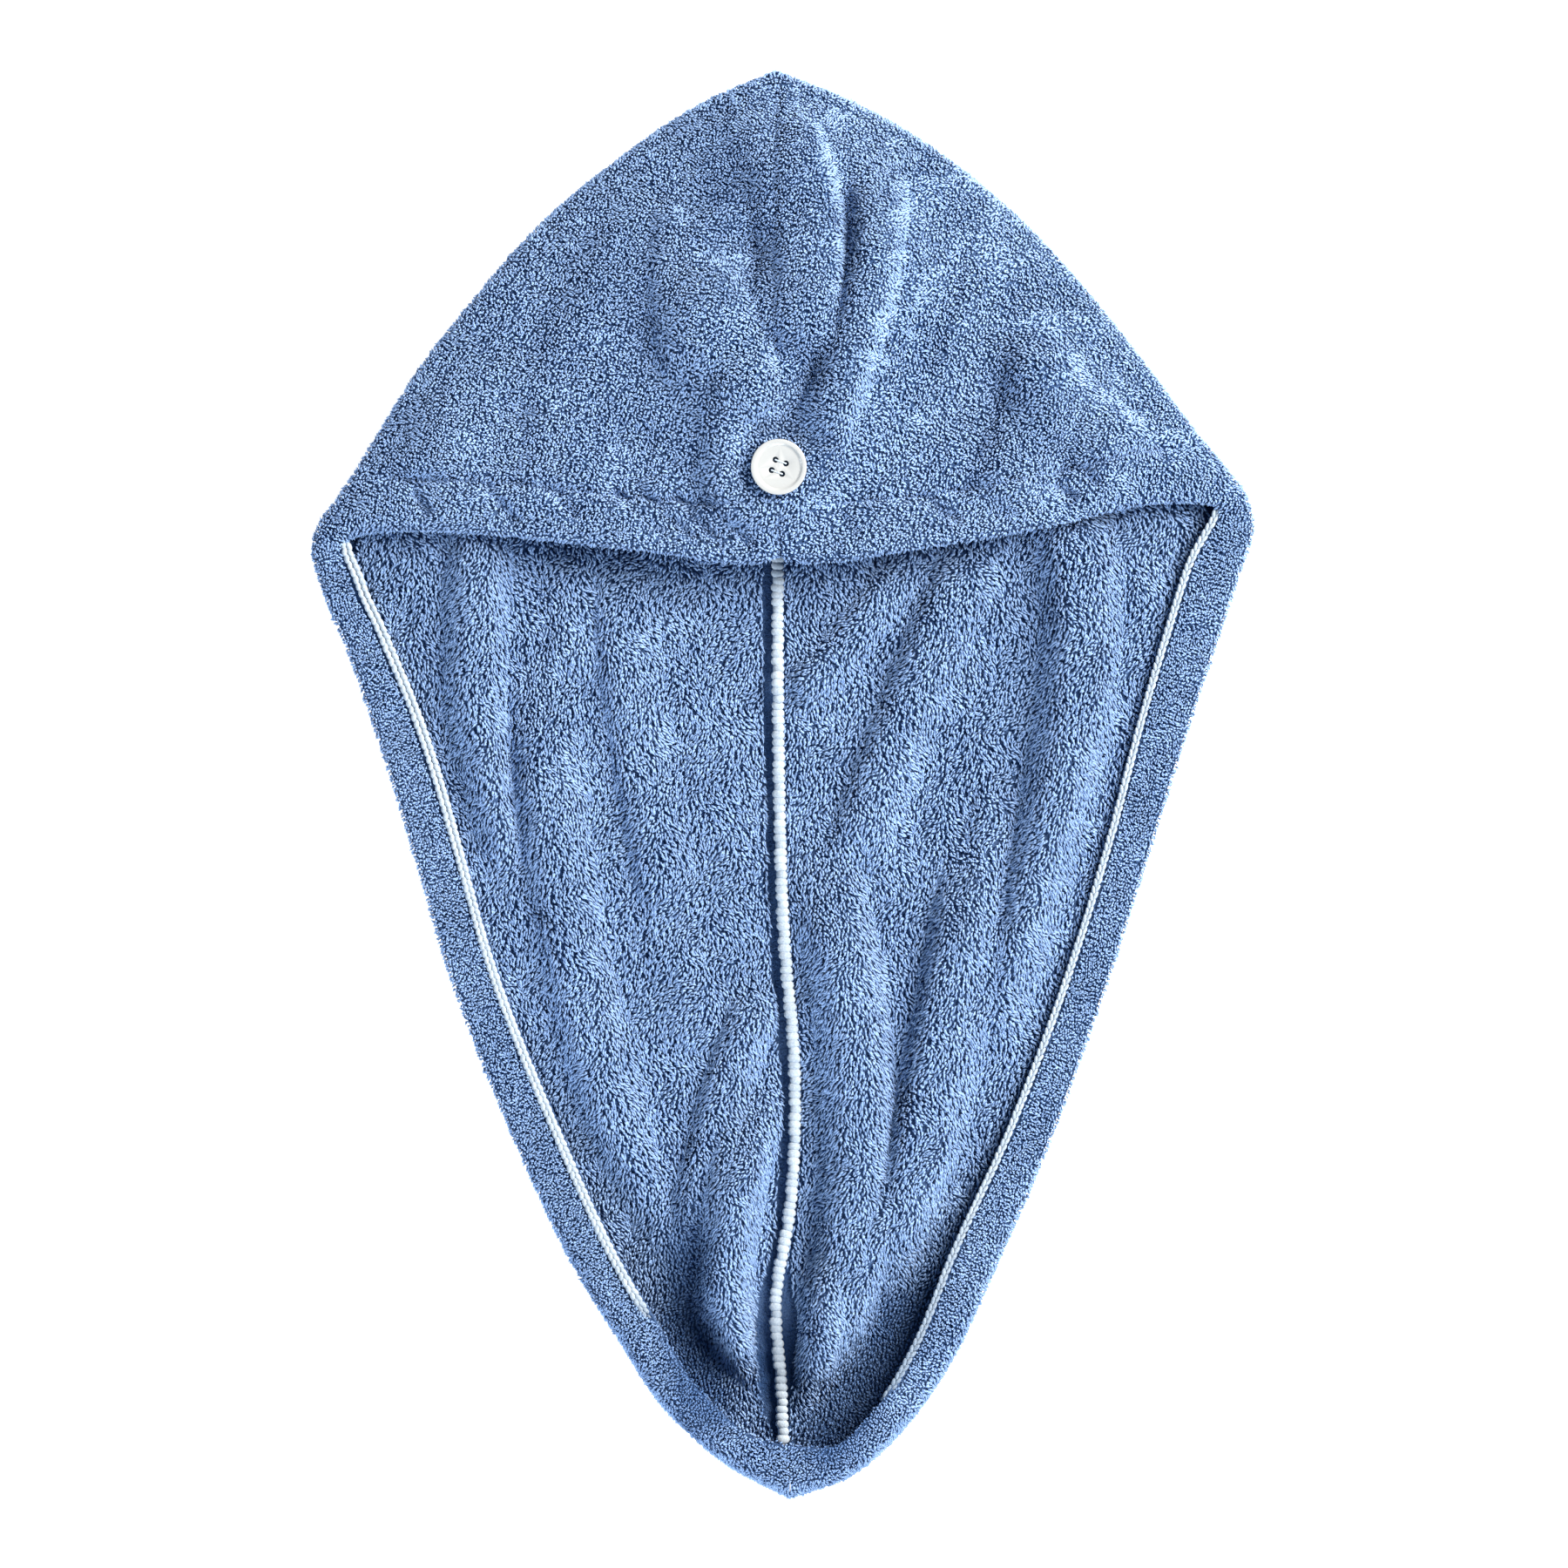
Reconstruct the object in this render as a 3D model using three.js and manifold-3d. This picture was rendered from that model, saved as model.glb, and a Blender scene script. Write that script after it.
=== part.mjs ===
// A hair turban towel of deep-pile fleece, laid flat with its opening up. Millimetres, +Z up.
// The hood's peak points to +Y, the tail's tip to -Y, and the towel lies on z = 0.
import * as THREE from "three";
import { mergeVertices } from "three/addons/utils/BufferGeometryUtils.js";
import Module from "manifold-3d";

// Driving dimensions
const LENGTH = 650; // peak of the hood to tip of the tail
const HALF_WIDTH = 215; // centre line to either corner
const CLOTH = 3; // fleece with its pile
const HOOD_HEIGHT = 38; // floor to the top of the hood
const HEM_WIDTH = 22.5; // band turned in along the edges and the hood's hem
const HOOD_HEM = 6.4; // doubled cloth of the hood's hem
const HEM_TAPER = 13; // the doubled cloth thins over this much towards the corners
const HEM_GROOVE = 1.5; // how deep the hem's stitching pulls in
const GROOVE_WIDTH = 11; // over both flanks of that groove
const FOLD_INSIDE = 6.5; // inside height of the fold at the outline, halved, at the peak
const FOLD_REACH = 7.5; // the furthest that this fold swells sideways
const FOLD_RISE = 13; // highest fold of the back
const FOLD_WIDTH = 20; // half width of a fold of the back
const DRAPE_RISE = 11; // highest crease of the hood
const DRAPE_WIDTH = 20; // half width of a crease of the hood
const LIP_RISE = 9; // how far the hem stands up round the tail's tip
const END_TURN = 38; // the outline swings square to the seam over this much at the peak and tip
const SEAM_GAP = 0.4; // between the two halves, where the seam draws them together
const SEAT_GAP = 0.3; // between pieces that touch

const EDGING_WIDTH = 3.8; // overlocked edge of the turned-in band
const EDGING_HEIGHT = 3.2;
const SEAM_WIDTH = 4.8; // overlocked seam allowance down the middle
const SEAM_HEIGHT = 3.2;

const BUTTON_RADIUS = 12.6;
const SEAT_BORDER = 14; // the cloth is drawn flat this far round the button
const SEAT_FADE = 26; // and eases back over this much more
const BUTTON_HEIGHT = 3.4;
const BUTTON_RIM = 2.2; // width of the raised rim
const BUTTON_DISH = 0.7; // depth of the flat middle below the rim
const HOLE_RADIUS = 1.15;
const HOLE_SPACING = 5; // between neighbouring holes
const HOLE_TURN = 20; // degrees, clockwise
const THREAD_RADIUS = 0.6;
const SHANK_RADIUS = 4.6; // wound thread below the button
const SHANK_HEIGHT = 0.8;

const table = (columns, rows) =>
  rows.map((row) => Object.fromEntries(columns.map((column, i) => [column, row[i]])));

// Sections from the peak to the tip. Across is a share of HALF_WIDTH, to the right, and down a
// share of LENGTH, from the peak. Roll is a share of FOLD_INSIDE, for the fold at the outline,
// lip a share of LIP_RISE, and hem a share of HEM_WIDTH.
const SECTIONS = table(
  ["leftAcross", "leftDown", "rightAcross", "rightDown", "seamDown", "roll", "lip", "leftHem", "rightHem"],
  [
    [-0.015, 0.0, -0.015, 0.0, 0.018, 1.0, 0, 1, 1],
    [-0.179, 0.024, 0.163, 0.024, 0.046, 0.92, 0, 1, 1],
    [-0.346, 0.061, 0.348, 0.061, 0.082, 0.82, 0, 1, 1],
    [-0.523, 0.11, 0.523, 0.11, 0.125, 0.7, 0, 1, 1],
    [-0.654, 0.159, 0.658, 0.159, 0.171, 0.6, 0, 1, 1],
    [-0.769, 0.207, 0.774, 0.207, 0.217, 0.52, 0, 1, 1],
    [-0.863, 0.256, 0.885, 0.256, 0.261, 0.45, 0, 1, 1],
    [-0.941, 0.297, 0.948, 0.281, 0.296, 0.42, 0, 1, 1],
    [-0.983, 0.316, 0.983, 0.297, 0.314, 0.4, 0, 1, 1],
    [-1.0, 0.332, 1.0, 0.317, 0.33, 0.37, 0, 0.95, 0.98],
    [-0.978, 0.366, 0.97, 0.354, 0.366, 0.2, 0.05, 0.88, 1.08],
    [-0.932, 0.403, 0.922, 0.403, 0.404, 0.08, 0.05, 0.9, 1.08],
    [-0.867, 0.464, 0.861, 0.464, 0.464, 0.06, 0.05, 1, 1.02],
    [-0.787, 0.549, 0.78, 0.549, 0.546, 0.06, 0.05, 1.02, 0.9],
    [-0.697, 0.647, 0.684, 0.647, 0.638, 0.06, 0.05, 1, 0.86],
    [-0.564, 0.757, 0.562, 0.757, 0.738, 0.2, 0.05, 1, 0.9],
    [-0.44, 0.842, 0.449, 0.842, 0.818, 0.7, 0.05, 0.95, 0.95],
    [-0.349, 0.89, 0.361, 0.903, 0.86, 1.2, 0.1, 0.89, 0.86],
    [-0.246, 0.94, 0.256, 0.952, 0.903, 1.65, 0.1, 0.81, 0.74],
    [-0.122, 0.976, 0.146, 0.984, 0.937, 1.8, 0.1, 0.8, 0.74],
    [0.015, 1.0, 0.015, 1.0, 0.961, 1.8, 0.1, 1.2, 1.2],
  ],
);

// Free end of the hood's cloth in the first sections: on the centre seam, then along the hem
const HOOD_ENDS = table(
  ["leftAcross", "leftDown", "rightAcross", "rightDown"],
  [
    [-0.015, 0.018, -0.015, 0.018],
    [-0.015, 0.075, -0.015, 0.075],
    [-0.015, 0.15, -0.015, 0.15],
    [-0.015, 0.245, -0.015, 0.245],
    [-0.011, 0.34, -0.011, 0.34],
    [-0.294, 0.336, 0.316, 0.333],
    [-0.57, 0.326, 0.584, 0.317],
    [-0.75, 0.322, 0.774, 0.303],
    [-0.845, 0.322, 0.865, 0.302],
    [-0.909, 0.326, 0.914, 0.304],
  ],
);
// the last of those ends on the seam is the middle of the hem, and the last of all is at a corner
const HEM_CENTRE = HOOD_ENDS.findLastIndex((row) => row.leftAcross === row.rightAcross);
const CORNER = HOOD_ENDS.length - 1;

// The centre seam's wander
const SEAM = table(
  ["down", "across"],
  [
    [0.0, -0.015],
    [0.2, -0.015],
    [0.34, -0.012],
    [0.45, -0.011],
    [0.61, 0.002],
    [0.704, 0.024],
    [0.8, 0.013],
    [0.861, -0.016],
    [0.925, -0.004],
    [0.961, 0.0],
    [1.0, 0.015],
  ],
);

// Top of the hood along the seam, as a share of HOOD_HEIGHT
const CROWN = table(
  ["down", "height"],
  [
    [0.0, 0.5],
    [0.018, 0.53],
    [0.067, 0.78],
    [0.128, 0.94],
    [0.195, 1.0],
    [0.276, 0.92],
    [0.34, 0.78],
  ],
);
const DOME_POWER = 2.4; // how square the hood's cross-section is
const DOME_EDGE = 0.85; // how full it is beside the outline

// Folds of the back, from under the hood to the tail. Each runs through three places. Rise is a
// share of FOLD_RISE, and left and right are shares of FOLD_WIDTH.
const FOLD_COLUMNS = [
  "topAcross", "topDown", "midAcross", "midDown", "footAcross", "footDown", "rise", "left", "right",
];
const FOLDS = table(FOLD_COLUMNS, [
  [-0.612, 0.268, -0.652, 0.427, -0.604, 0.58, 0.85, 0.75, 0.7],
  [-0.516, 0.403, -0.47, 0.574, -0.312, 0.805, 0.65, 0.75, 0.9],
  [-0.368, 0.317, -0.327, 0.458, -0.238, 0.61, 0.45, 0.5, 1.0],
  [-0.011, 0.635, -0.118, 0.714, -0.201, 0.836, 0.6, 0.6, 0.55],
  [-0.017, 0.702, -0.118, 0.842, -0.065, 0.964, 1.4, 0.75, 0.6],
  [0.048, 0.519, 0.165, 0.72, 0.076, 0.943, 1.15, 1.0, 0.8],
  [0.412, 0.525, 0.323, 0.683, 0.196, 0.879, 1.0, 0.65, 1.15],
  [0.571, 0.275, 0.623, 0.439, 0.427, 0.708, 1.25, 0.95, 0.95],
  [0.436, 0.311, 0.27, 0.439, 0.128, 0.567, 0.45, 0.7, 0.9],
  [0.298, 0.329, 0.159, 0.394, 0.011, 0.445, 0.45, 0.55, 0.5],
]);

// Creases of the hood, with DRAPE_RISE and DRAPE_WIDTH in place of the back's sizes
const DRAPES = table(FOLD_COLUMNS, [
  [-0.011, 0.009, 0.091, 0.109, 0.05, 0.214, 0.9, 1.8, 0.42],
  [0.192, 0.064, 0.19, 0.149, 0.057, 0.281, 1.25, 0.8, 0.62],
  [-0.192, 0.134, -0.105, 0.178, -0.035, 0.244, 0.5, 2.0, 0.6],
  [-0.031, 0.195, -0.094, 0.259, -0.098, 0.329, 0.65, 1.0, 1.1],
  [0.519, 0.171, 0.603, 0.223, 0.787, 0.272, 0.65, 1.5, 0.6],
  [0.547, 0.174, 0.519, 0.244, 0.431, 0.311, 0.7, 0.85, 1.1],
]);

// Shares of its length over which a fold dies out at either end
const FOLD_FADE = { top: 0.3, foot: 0.17 };
const FOLD_PIECES = 10; // straight pieces that stand for the curve of its crest

const BUTTON_DOWN = 0.278; // share of LENGTH
const SEAM_START = 1; // section where the inside seam allowance begins
// Where the overlocked edges show, as shares of the way from the first section to the last
const EDGING_SHARES = { left: [0.475, 0.825], right: [0.475, 0.85] };

// How finely the cloth is divided
const STEPS_PER_SECTION = 2;
const HOOD_STEPS = 10;
const ROLL_STEPS = 4;
const BACK_STEPS = 15;

const sides = { left: -1, right: 1 };
const acrossToX = (across) => across * HALF_WIDTH;
const downToY = (down) => (0.5 - down) * LENGTH;

function smooth(from, to, value) {
  return THREE.MathUtils.smoothstep((value - from) / (to - from), 0, 1);
}

// Smooth curve through the given values, with each slope taken from the neighbouring ones
function curve(knots, values) {
  const last = knots.length - 1;
  const rise = (i) => (values[i + 1] - values[i]) / (knots[i + 1] - knots[i]);
  const slopes = knots.map((knot, i) => {
    if (i === 0) return rise(0);
    if (i === last) return rise(last - 1);
    const before = knot - knots[i - 1];
    const after = knots[i + 1] - knot;
    return (rise(i) * before + rise(i - 1) * after) / (before + after);
  });
  return (x) => {
    const at = THREE.MathUtils.clamp(x, knots[0], knots[last]);
    let i = 0;
    while (i < last - 1 && at > knots[i + 1]) i += 1;
    const step = knots[i + 1] - knots[i];
    const t = (at - knots[i]) / step;
    const back = 1 - t;
    return (
      (1 + 2 * t) * back * back * values[i] +
      t * t * (1 + 2 * back) * values[i + 1] +
      t * back * step * (back * slopes[i] - t * slopes[i + 1])
    );
  };
}

const seamX = curve(
  SEAM.map((row) => -downToY(row.down)),
  SEAM.map((row) => acrossToX(row.across)),
);
const crownZ = curve(
  CROWN.map((row) => -downToY(row.down)),
  CROWN.map((row) => row.height * HOOD_HEIGHT),
);
const seamAt = (y) => seamX(-y);
const crownAt = (y) => crownZ(-y);

const BUTTON_Y = downToY(BUTTON_DOWN);
const BUTTON_X = seamAt(BUTTON_Y);
const BUTTON_SEAT = crownAt(BUTTON_Y); // top of the cloth that the button is sewn to
const SEAT_INNER = BUTTON_RADIUS + SEAT_BORDER;
const SEAT_OUTER = SEAT_INNER + SEAT_FADE;

// Points along a fold's crest, which curves through its three places
function crestOf(fold) {
  const [top, mid, foot] = ["top", "mid", "foot"].map(
    (place) => new THREE.Vector2(acrossToX(fold[`${place}Across`]), downToY(fold[`${place}Down`])),
  );
  return Array.from({ length: FOLD_PIECES + 1 }, (unused, i) => {
    const t = i / FOLD_PIECES;
    const start = top.clone().multiplyScalar((1 - t) * (1 - 2 * t));
    return start.addScaledVector(mid, 4 * t * (1 - t)).addScaledVector(foot, t * (2 * t - 1));
  });
}

// Height that a fold adds at a place, as a share of the highest fold's
function foldShare(fold, width, x, y) {
  let nearest = { far: Infinity };
  for (let i = 0; i < FOLD_PIECES; i += 1) {
    const step = fold.crest[i + 1].clone().sub(fold.crest[i]);
    const off = new THREE.Vector2(x, y).sub(fold.crest[i]);
    const part = THREE.MathUtils.clamp(off.dot(step) / step.lengthSq(), 0, 1);
    off.addScaledVector(step, -part);
    const far = off.length();
    if (far < nearest.far) nearest = { far, side: step.cross(off), along: (i + part) / FOLD_PIECES };
  }
  const reach = width * (nearest.side < 0 ? fold.left : fold.right);
  const near = Math.min(nearest.far / reach, 1);
  const fade = smooth(0, FOLD_FADE.top, nearest.along) * smooth(0, FOLD_FADE.foot, 1 - nearest.along);
  return fold.rise * (1 - near ** 3) ** 2 * fade;
}

const withCrests = (folds) => folds.map((fold) => ({ ...fold, crest: crestOf(fold) }));
const backFolds = withCrests(FOLDS);
const hoodCreases = withCrests(DRAPES);

function foldHeight(folds, rise, width, x, y) {
  return folds.reduce((height, fold) => height + rise * foldShare(fold, width, x, y), 0);
}

// Bands beside the fold at the outline stay flat, so that the turned-in hem lies on them
const FLAT_BAND = HEM_WIDTH + EDGING_WIDTH;
const FLAT_FADE = 18; // folds grow over this much beyond them

function backHeight(x, y, inward) {
  const beyondBand = smooth(FLAT_BAND, FLAT_BAND + FLAT_FADE, inward);
  return foldHeight(backFolds, FOLD_RISE, FOLD_WIDTH, x, y) * beyondBand;
}

// Distance along the outline to each section, the mean of both sides
const ALONG = [0];
for (let i = 1; i < SECTIONS.length; i += 1) {
  const step = (side) =>
    Math.hypot(
      acrossToX(SECTIONS[i][`${side}Across`] - SECTIONS[i - 1][`${side}Across`]),
      LENGTH * (SECTIONS[i][`${side}Down`] - SECTIONS[i - 1][`${side}Down`]),
    );
  ALONG.push(ALONG[i - 1] + (step("left") + step("right")) / 2);
}

const column = (name) => SECTIONS.map((row) => row[name]);
const atRow = (row) => {
  const i = Math.min(Math.floor(row), SECTIONS.length - 2);
  return ALONG[i] + (row - i) * (ALONG[i + 1] - ALONG[i]);
};

// The curves that one half of the towel is made from
function sideCurves(side) {
  const sign = sides[side];
  const besideSeam = (y) => seamAt(y) + (sign * SEAM_GAP) / 2;
  const rowY = column(`${side}Down`).map(downToY);
  const rowX = column(`${side}Across`).map(acrossToX);
  for (const end of [0, SECTIONS.length - 1]) rowX[end] = besideSeam(rowY[end]);
  const edgeX = curve(ALONG, rowX);
  const edgeY = curve(ALONG, rowY);
  const outward = (s) => {
    const step = 0.5;
    const tangent = new THREE.Vector2(edgeX(s + step) - edgeX(s - step), edgeY(s + step) - edgeY(s - step));
    const natural = new THREE.Vector2(-tangent.y, tangent.x).normalize().multiplyScalar(sign);
    const end = s < ALONG.at(-1) / 2 ? 1 : -1;
    const turn = smooth(0, END_TURN, Math.min(s, ALONG.at(-1) - s));
    return new THREE.Vector2(0, end).lerp(natural, turn).normalize();
  };
  const ends = SECTIONS.map((row, i) => {
    if (i <= CORNER) {
      const end = HOOD_ENDS[i];
      return new THREE.Vector2(acrossToX(end[`${side}Across`]), downToY(end[`${side}Down`]));
    }
    const edge = new THREE.Vector2(edgeX(ALONG[i]), edgeY(ALONG[i]));
    return edge.addScaledVector(outward(ALONG[i]), -HEM_WIDTH * row[`${side}Hem`]);
  });
  const tip = ends.at(-1);
  tip.y = downToY(SECTIONS.at(-1).seamDown);
  tip.x = seamAt(tip.y);
  return {
    besideSeam,
    edgeX,
    edgeY,
    outward,
    endX: curve(ALONG, ends.map((end) => end.x)),
    endY: curve(ALONG, ends.map((end) => end.y)),
    seamY: curve(ALONG, column("seamDown").map(downToY)),
    roll: curve(ALONG, column("roll").map((share) => CLOTH + share * FOLD_INSIDE)),
    lip: curve(ALONG, column("lip").map((share) => share * LIP_RISE)),
    mouth: Math.abs(ends[CORNER].x - ends[HEM_CENTRE].x),
  };
}

// Lower edge of the hood's hem, from the left corner to the right one
const HEM_POINTS = [
  ...HOOD_ENDS.slice(HEM_CENTRE).reverse().map((row) => [row.leftAcross, row.leftDown]),
  ...HOOD_ENDS.slice(HEM_CENTRE + 1).map((row) => [row.rightAcross, row.rightDown]),
];
const hemY = curve(
  HEM_POINTS.map((point) => acrossToX(point[0])),
  HEM_POINTS.map((point) => downToY(point[1])),
);

// One section through the cloth: its outer points from the free end round to the centre seam,
// each with the inner point a wall's thickness behind it
function sectionAt(curves, s) {
  const roll = curves.roll(s);
  const outward = curves.outward(s);
  const reach = Math.min(roll, FOLD_REACH);
  const fold = new THREE.Vector2(curves.edgeX(s), curves.edgeY(s)).addScaledVector(outward, -reach);
  const onSeam = s <= ALONG[HEM_CENTRE] || s >= ALONG.at(-1);
  const free = new THREE.Vector2(curves.endX(s), curves.endY(s));
  if (onSeam) free.x = curves.besideSeam(free.y);
  const seam = new THREE.Vector2(curves.besideSeam(curves.seamY(s)), curves.seamY(s));
  const band = smooth(ALONG[CORNER - 1], ALONG[CORNER + 1], s);
  const share = Math.min(Math.abs(free.x - seamAt(free.y)) / curves.mouth, 1);
  const freeZ = 2 * roll + (crownAt(free.y) - 2 * roll) * (1 - share ** DOME_POWER);
  const outer = [];
  const inner = [];
  const add = (at, z, wall) => {
    outer.push(new THREE.Vector3(at.x, at.y, z));
    inner.push(new THREE.Vector3(at.x, at.y, z + wall));
  };
  for (let i = 0; i <= HOOD_STEPS; i += 1) {
    const w = i / HOOD_STEPS;
    const at = free.clone().lerp(fold, w);
    const inward = at.distanceTo(fold);
    const overHem = at.y - hemY(at.x);
    const dome = (freeZ - 2 * roll) * (1 - w ** DOME_POWER) ** DOME_EDGE;
    const drape = foldHeight(hoodCreases, DRAPE_RISE, DRAPE_WIDTH, at.x, at.y) * smooth(0, FLAT_FADE, inward);
    const stitched = Math.max(1 - Math.abs(overHem - HEM_WIDTH) / (GROOVE_WIDTH / 2), 0);
    const hood = 2 * roll + dome + drape - HEM_GROOVE * stitched * smooth(0, HEM_WIDTH, inward);
    const fromButton = Math.hypot(at.x - BUTTON_X, at.y - BUTTON_Y);
    const seated = THREE.MathUtils.lerp(BUTTON_SEAT, hood, smooth(SEAT_INNER, SEAT_OUTER, fromButton));
    const hem = backHeight(at.x, at.y, inward) + 2 * roll + curves.lip(s) * (1 - w);
    const pastHem = smooth(-GROOVE_WIDTH / 2, GROOVE_WIDTH / 2, overHem - HEM_WIDTH);
    const doubled = (1 - pastHem) * (1 - band);
    const wall = CLOTH + (HOOD_HEM - CLOTH) * doubled * smooth(0, HEM_TAPER, inward);
    add(at, THREE.MathUtils.lerp(seated, hem, band), -wall);
  }
  for (let i = 1; i < ROLL_STEPS; i += 1) {
    const angle = (Math.PI * i) / ROLL_STEPS;
    for (const [points, wall] of [[outer, 0], [inner, CLOTH]]) {
      const at = fold.clone().addScaledVector(outward, (reach - wall) * Math.sin(angle));
      points.push(new THREE.Vector3(at.x, at.y, roll + (roll - wall) * Math.cos(angle)));
    }
  }
  for (let i = 0; i <= BACK_STEPS; i += 1) {
    const at = fold.clone().lerp(seam, i / BACK_STEPS);
    add(at, backHeight(at.x, at.y, at.distanceTo(fold)), CLOTH);
  }
  return { outer, inner };
}

// Closed body lofted through rings of points that all run the same way round
function loft(rings, capPairs) {
  const count = rings[0].length;
  const positions = rings.flat().flatMap((point) => point.toArray());
  const index = [];
  const quad = (a, b, c, d) => index.push(a, b, c, a, c, d);
  for (let i = 0; i + 1 < rings.length; i += 1) {
    for (let j = 0; j < count; j += 1) {
      const next = (j + 1) % count;
      const corners = [i * count + j, i * count + next, (i + 1) * count + next, (i + 1) * count + j];
      // the back row is split along the same diagonals as the front row before it
      if (2 * j >= count) corners.push(corners.shift());
      quad(...corners);
    }
  }
  const last = (rings.length - 1) * count;
  for (const [a, b, c, d] of capPairs) {
    quad(d, c, b, a);
    quad(last + a, last + b, last + c, last + d);
  }
  const geometry = new THREE.BufferGeometry();
  geometry.setAttribute("position", new THREE.Float32BufferAttribute(positions, 3));
  geometry.setIndex(volumeOf(positions, index) < 0 ? index.reverse() : index);
  geometry.computeVertexNormals();
  return geometry;
}

function volumeOf(positions, index) {
  const corner = (i) => new THREE.Vector3().fromArray(positions, 3 * index[i]);
  let volume = 0;
  for (let i = 0; i < index.length; i += 3) {
    volume += corner(i).dot(corner(i + 1).cross(corner(i + 2))) / 6;
  }
  return volume;
}

// Pairs of opposite points that close a ring made of a front row and a back row
function capPairs(frontCount, ringCount) {
  const pairs = [];
  for (let j = 0; j + 1 < frontCount; j += 1) {
    pairs.push([j, j + 1, ringCount - 2 - j, ringCount - 1 - j]);
  }
  return pairs;
}

const STATIONS = [];
for (let i = 0; i <= (SECTIONS.length - 1) * STEPS_PER_SECTION; i += 1) {
  STATIONS.push(i / STEPS_PER_SECTION);
}

// One half: the hood's cloth, the fold at the outline, the back and the turned-in band
function halfOf(side) {
  const curves = sideCurves(side);
  const sections = STATIONS.map((row) => sectionAt(curves, atRow(row)));
  return { outer: sections.map((section) => section.outer), inner: sections.map((section) => section.inner) };
}

const HALVES = { left: halfOf("left"), right: halfOf("right") };

function panelGeometry({ outer, inner }) {
  const rings = outer.map((row, i) => [...row, ...[...inner[i]].reverse()]);
  return loft(rings, capPairs(outer[0].length, rings[0].length));
}

// Rounded band: its outline as shares of its width and height, from the lower left round the top
const BAND_OUTLINE = [
  [-0.5, 0.1],
  [-0.45, 0.75],
  [-0.2, 1],
  [0.2, 1],
  [0.45, 0.75],
  [0.5, 0.1],
];

// Overlocked edge of a turned-in band, beside the band's free end
function edgingGeometry(side) {
  const { outer, inner } = HALVES[side];
  const [first, last] = EDGING_SHARES[side].map((share) => share * (SECTIONS.length - 1));
  const rings = [];
  STATIONS.forEach((row, i) => {
    if (row < first || row > last) return;
    const inward = outer[i][0].clone().sub(outer[i][HOOD_STEPS]).setZ(0).normalize();
    const middle = outer[i][0].clone().lerp(inner[i][0], 0.5);
    rings.push(
      BAND_OUTLINE.map(([width, height]) =>
        middle
          .clone()
          .addScaledVector(inward, SEAT_GAP + (width + 0.5) * EDGING_WIDTH)
          .setZ(middle.z + (height - 0.5) * EDGING_HEIGHT),
      ),
    );
  });
  return loft(rings, [
    [0, 1, 4, 5],
    [1, 2, 3, 4],
  ]);
}

// Overlocked seam allowance, which stands on the back along the centre seam
function seamGeometry() {
  const rings = [];
  const last = HALVES.left.inner[0].length - 1;
  STATIONS.forEach((row, i) => {
    if (row < SEAM_START) return;
    const seamLine = HALVES.left.inner[i][last].clone().lerp(HALVES.right.inner[i][last], 0.5);
    const floorAt = (offset) => {
      const panel = offset < 0 ? HALVES.left : HALVES.right;
      const near = panel.inner[i][last];
      const far = panel.inner[i][last - 1];
      const share = Math.min(Math.abs(offset) / Math.abs(far.x - seamLine.x), 1);
      return near.clone().lerp(far, share).z;
    };
    rings.push(
      BAND_OUTLINE.map(([width, height]) => {
        const base = Math.max(floorAt(-SEAM_WIDTH / 2), floorAt(0), floorAt(SEAM_WIDTH / 2));
        const x = seamLine.x + width * SEAM_WIDTH;
        return new THREE.Vector3(x, seamLine.y, base + SEAT_GAP + height * SEAM_HEIGHT);
      }),
    );
  });
  return loft(rings, [
    [0, 1, 4, 5],
    [1, 2, 3, 4],
  ]);
}

const wasm = await Module();
wasm.setup();

// A closed three.js geometry as a solid that can be joined and cut
function solidOf(geometry) {
  const bare = geometry.clone();
  bare.deleteAttribute("normal");
  bare.deleteAttribute("uv");
  const merged = mergeVertices(bare, 1e-4);
  return new wasm.Manifold(
    new wasm.Mesh({
      numProp: 3,
      vertProperties: new Float32Array(merged.attributes.position.array),
      triVerts: new Uint32Array(merged.index.array),
    }),
  );
}

function geometryOf(solid) {
  const mesh = solid.getMesh();
  const geometry = new THREE.BufferGeometry();
  geometry.setAttribute("position", new THREE.BufferAttribute(new Float32Array(mesh.vertProperties), 3));
  geometry.setIndex(new THREE.BufferAttribute(new Uint32Array(mesh.triVerts), 1));
  geometry.computeVertexNormals();
  return geometry;
}

const BUTTON_FACETS = 26;
const HOLE_FACETS = 8;
const THREAD_FACETS = 6;
const DISH_SLOPE = 0.8; // run of the slope inside the rim

// Places of the four holes, the first two joined by one stitch and the last two by the other
const HOLES = [
  [-1, 1],
  [1, 1],
  [-1, -1],
  [1, -1],
].map(([across, up]) =>
  new THREE.Vector2((across * HOLE_SPACING) / 2, (up * HOLE_SPACING) / 2).rotateAround(
    new THREE.Vector2(),
    -THREE.MathUtils.degToRad(HOLE_TURN),
  ),
);

function upright(radius, facets, bottom, top) {
  const geometry = new THREE.CylinderGeometry(radius, radius, top - bottom, facets);
  return geometry.rotateX(Math.PI / 2).translate(0, 0, (bottom + top) / 2);
}

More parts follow.
